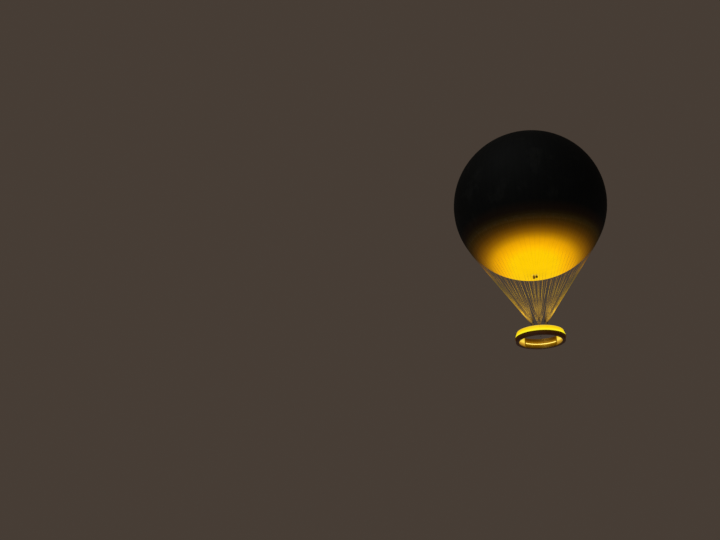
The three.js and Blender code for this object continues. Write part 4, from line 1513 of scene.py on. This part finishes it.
housing_parts = [
    spun("tube", wall(lifted(BLOWER_LOW, [
        (0.151, 0.004), (0.155, 0), (0.162, 0), (0.165, 0.004), (0.165, 0.02), (0.161, 0.026),
        (0.161, 0.292), (0.165, 0.298), (0.165, 0.322), (0.151, 0.322),
    ])), 64),
    spun("motor", lifted(MOTOR_LOW, [
        (0, 0), (0.045, 0), (0.053, 0.006), (0.055, 0.02), (0.055, 0.108), (0, 0.108),
    ]), 32),
    around(block("fin", (0.004, 0.016, 0.08), (0, -0.058, MOTOR_LOW + 0.06), 0.001, 1), FINS),
    spun("shaft", lifted(MOTOR_LOW, [
        (0, -0.034), (0.01, -0.034), (0.012, -0.032), (0.012, 0.01), (0, 0.01),
    ]), 24),
    around(block("arm", (0.016, 0.11, 0.04), (0, -0.105, HANG_TOP - 0.04), 0.003, 2), ARMS),
]
for radius in (0.05, 0.075, 0.1, 0.125, 0.15):
    diamond = lifted(GUARD_Z, [(radius - 0.002, 0), (radius, -0.002), (radius + 0.002, 0), (radius, 0.002)])
    housing_parts.append(spun("guard", wall(diamond), 32))
housing_parts += [
    around(block("spoke", (0.006, 0.112, 0.004), (0, -0.1, BLOWER_LOW + 0.0095), 0.001, 1), SPOKES),
    side_bolts(0.161),
]
housing = painted(moved(joined("blower_housing_finned", housing_parts), (-FIT_X, 0, 0)), BROWN_PAINT)
dress(housing, "balloon", "brown_paint", "blower_housing")

# %% Blower rotor
ROTOR_HIGH = MOTOR_LOW - 0.005
ROTOR_LOW = ROTOR_HIGH - 0.05
ROTOR_MID = (ROTOR_LOW + ROTOR_HIGH) / 2
BLADES = 6
BLADE_PITCH = math.radians(32)
rotor_hub = spun("rotor_hub", wall(lifted(ROTOR_LOW, [
    (0.0126, 0), (0.036, 0), (0.044, 0.006), (0.046, 0.014), (0.046, 0.046), (0.043, 0.05), (0.0126, 0.05),
])), 32)
blade = block("blade", (0.058, 0.098, 0.005), (0, -0.09, ROTOR_MID), 0.0022, 2)
edit_all(blade)
shell = bmesh.from_edit_mesh(blade.data)
for corner in shell.verts:
    corner.select_set(corner.co.y < -0.12)
shell.select_flush(True)
bmesh.update_edit_mesh(blade.data)
bpy.ops.transform.resize(value=(0.78, 1, 1), center_override=(0, -0.139, ROTOR_MID))
bpy.ops.object.mode_set(mode="OBJECT")
moved(blade, (0, 0, -ROTOR_MID))
blade.rotation_euler = (0, BLADE_PITCH, 0)
bpy.ops.object.transform_apply(rotation=True)
moved(blade, (0, 0, ROTOR_MID))
blades = around(turned(blade, 90), BLADES)
rotor = painted(moved(joined("blower_rotor_bladed", [rotor_hub, blades]), (-FIT_X, 0, 0)), ALUMINIUM)
dress(rotor, "blower", "aluminium", "blower_rotor")

# %% Relief valve body
RELIEF_LOW = HANG_TOP - 0.19
GUIDE_Z = HANG_TOP - 0.065
body_parts = [
    spun("body", wall(lifted(RELIEF_LOW, [
        (0.135, 0), (0.161, 0), (0.165, 0.004), (0.165, 0.018), (0.16, 0.024), (0.16, 0.16), (0.165, 0.166),
        (0.165, 0.19), (0.135, 0.19),
    ])), 64),
    spun("guide", wall(lifted(GUIDE_Z, [
        (0.0118, -0.025), (0.021, -0.025), (0.024, -0.022), (0.024, 0.022), (0.021, 0.025), (0.0118, 0.025),
    ])), 24),
    around(block("arm", (0.016, 0.122, 0.05), (0, -0.081, GUIDE_Z), 0.003, 2), ARMS),
    side_bolts(0.16),
]
body = painted(moved(joined("relief_body_flanged", body_parts), (FIT_X, 0, 0)), DARK_PAINT)
dress(body, "balloon", "dark_paint", "relief_valve_body")

# %% Relief valve lid
SEAL = RELIEF_LOW - SEAT
RELIEF_RIBS = 8
relief_lid = spun("relief_lid", lifted(SEAL, [
    (0, -0.022), (0.04, -0.022), (0.048, -0.018), (0.13, -0.018), (0.138, -0.022), (0.152, -0.022),
    (0.16, -0.016), (0.16, -0.003), (0.157, 0), (0.011, 0), (0.011, 0.18), (0.008, 0.185), (0, 0.185),
]), 64)
relief_ribs = around(block("rib", (0.01, 0.085, 0.006), (0, -0.089, SEAL - 0.019), 0.0015, 1), RELIEF_RIBS)
relief_lid = joined("relief_lid_ribbed", [relief_lid, relief_ribs])
dress(painted(moved(relief_lid, (FIT_X, 0, 0)), DARK_PAINT), "relief_valve", "dark_paint", "relief_valve_lid")

# %% [markdown]
# ## Sizes and the end
# The box of the dressed model is printed beside the box of the frame.

# %% Finish
new_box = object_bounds()
print("sizes of the frame and of the dressed model:")
for box in (cad_box, new_box):
    print([round(high - low, 3) for low, high in zip(*box)])
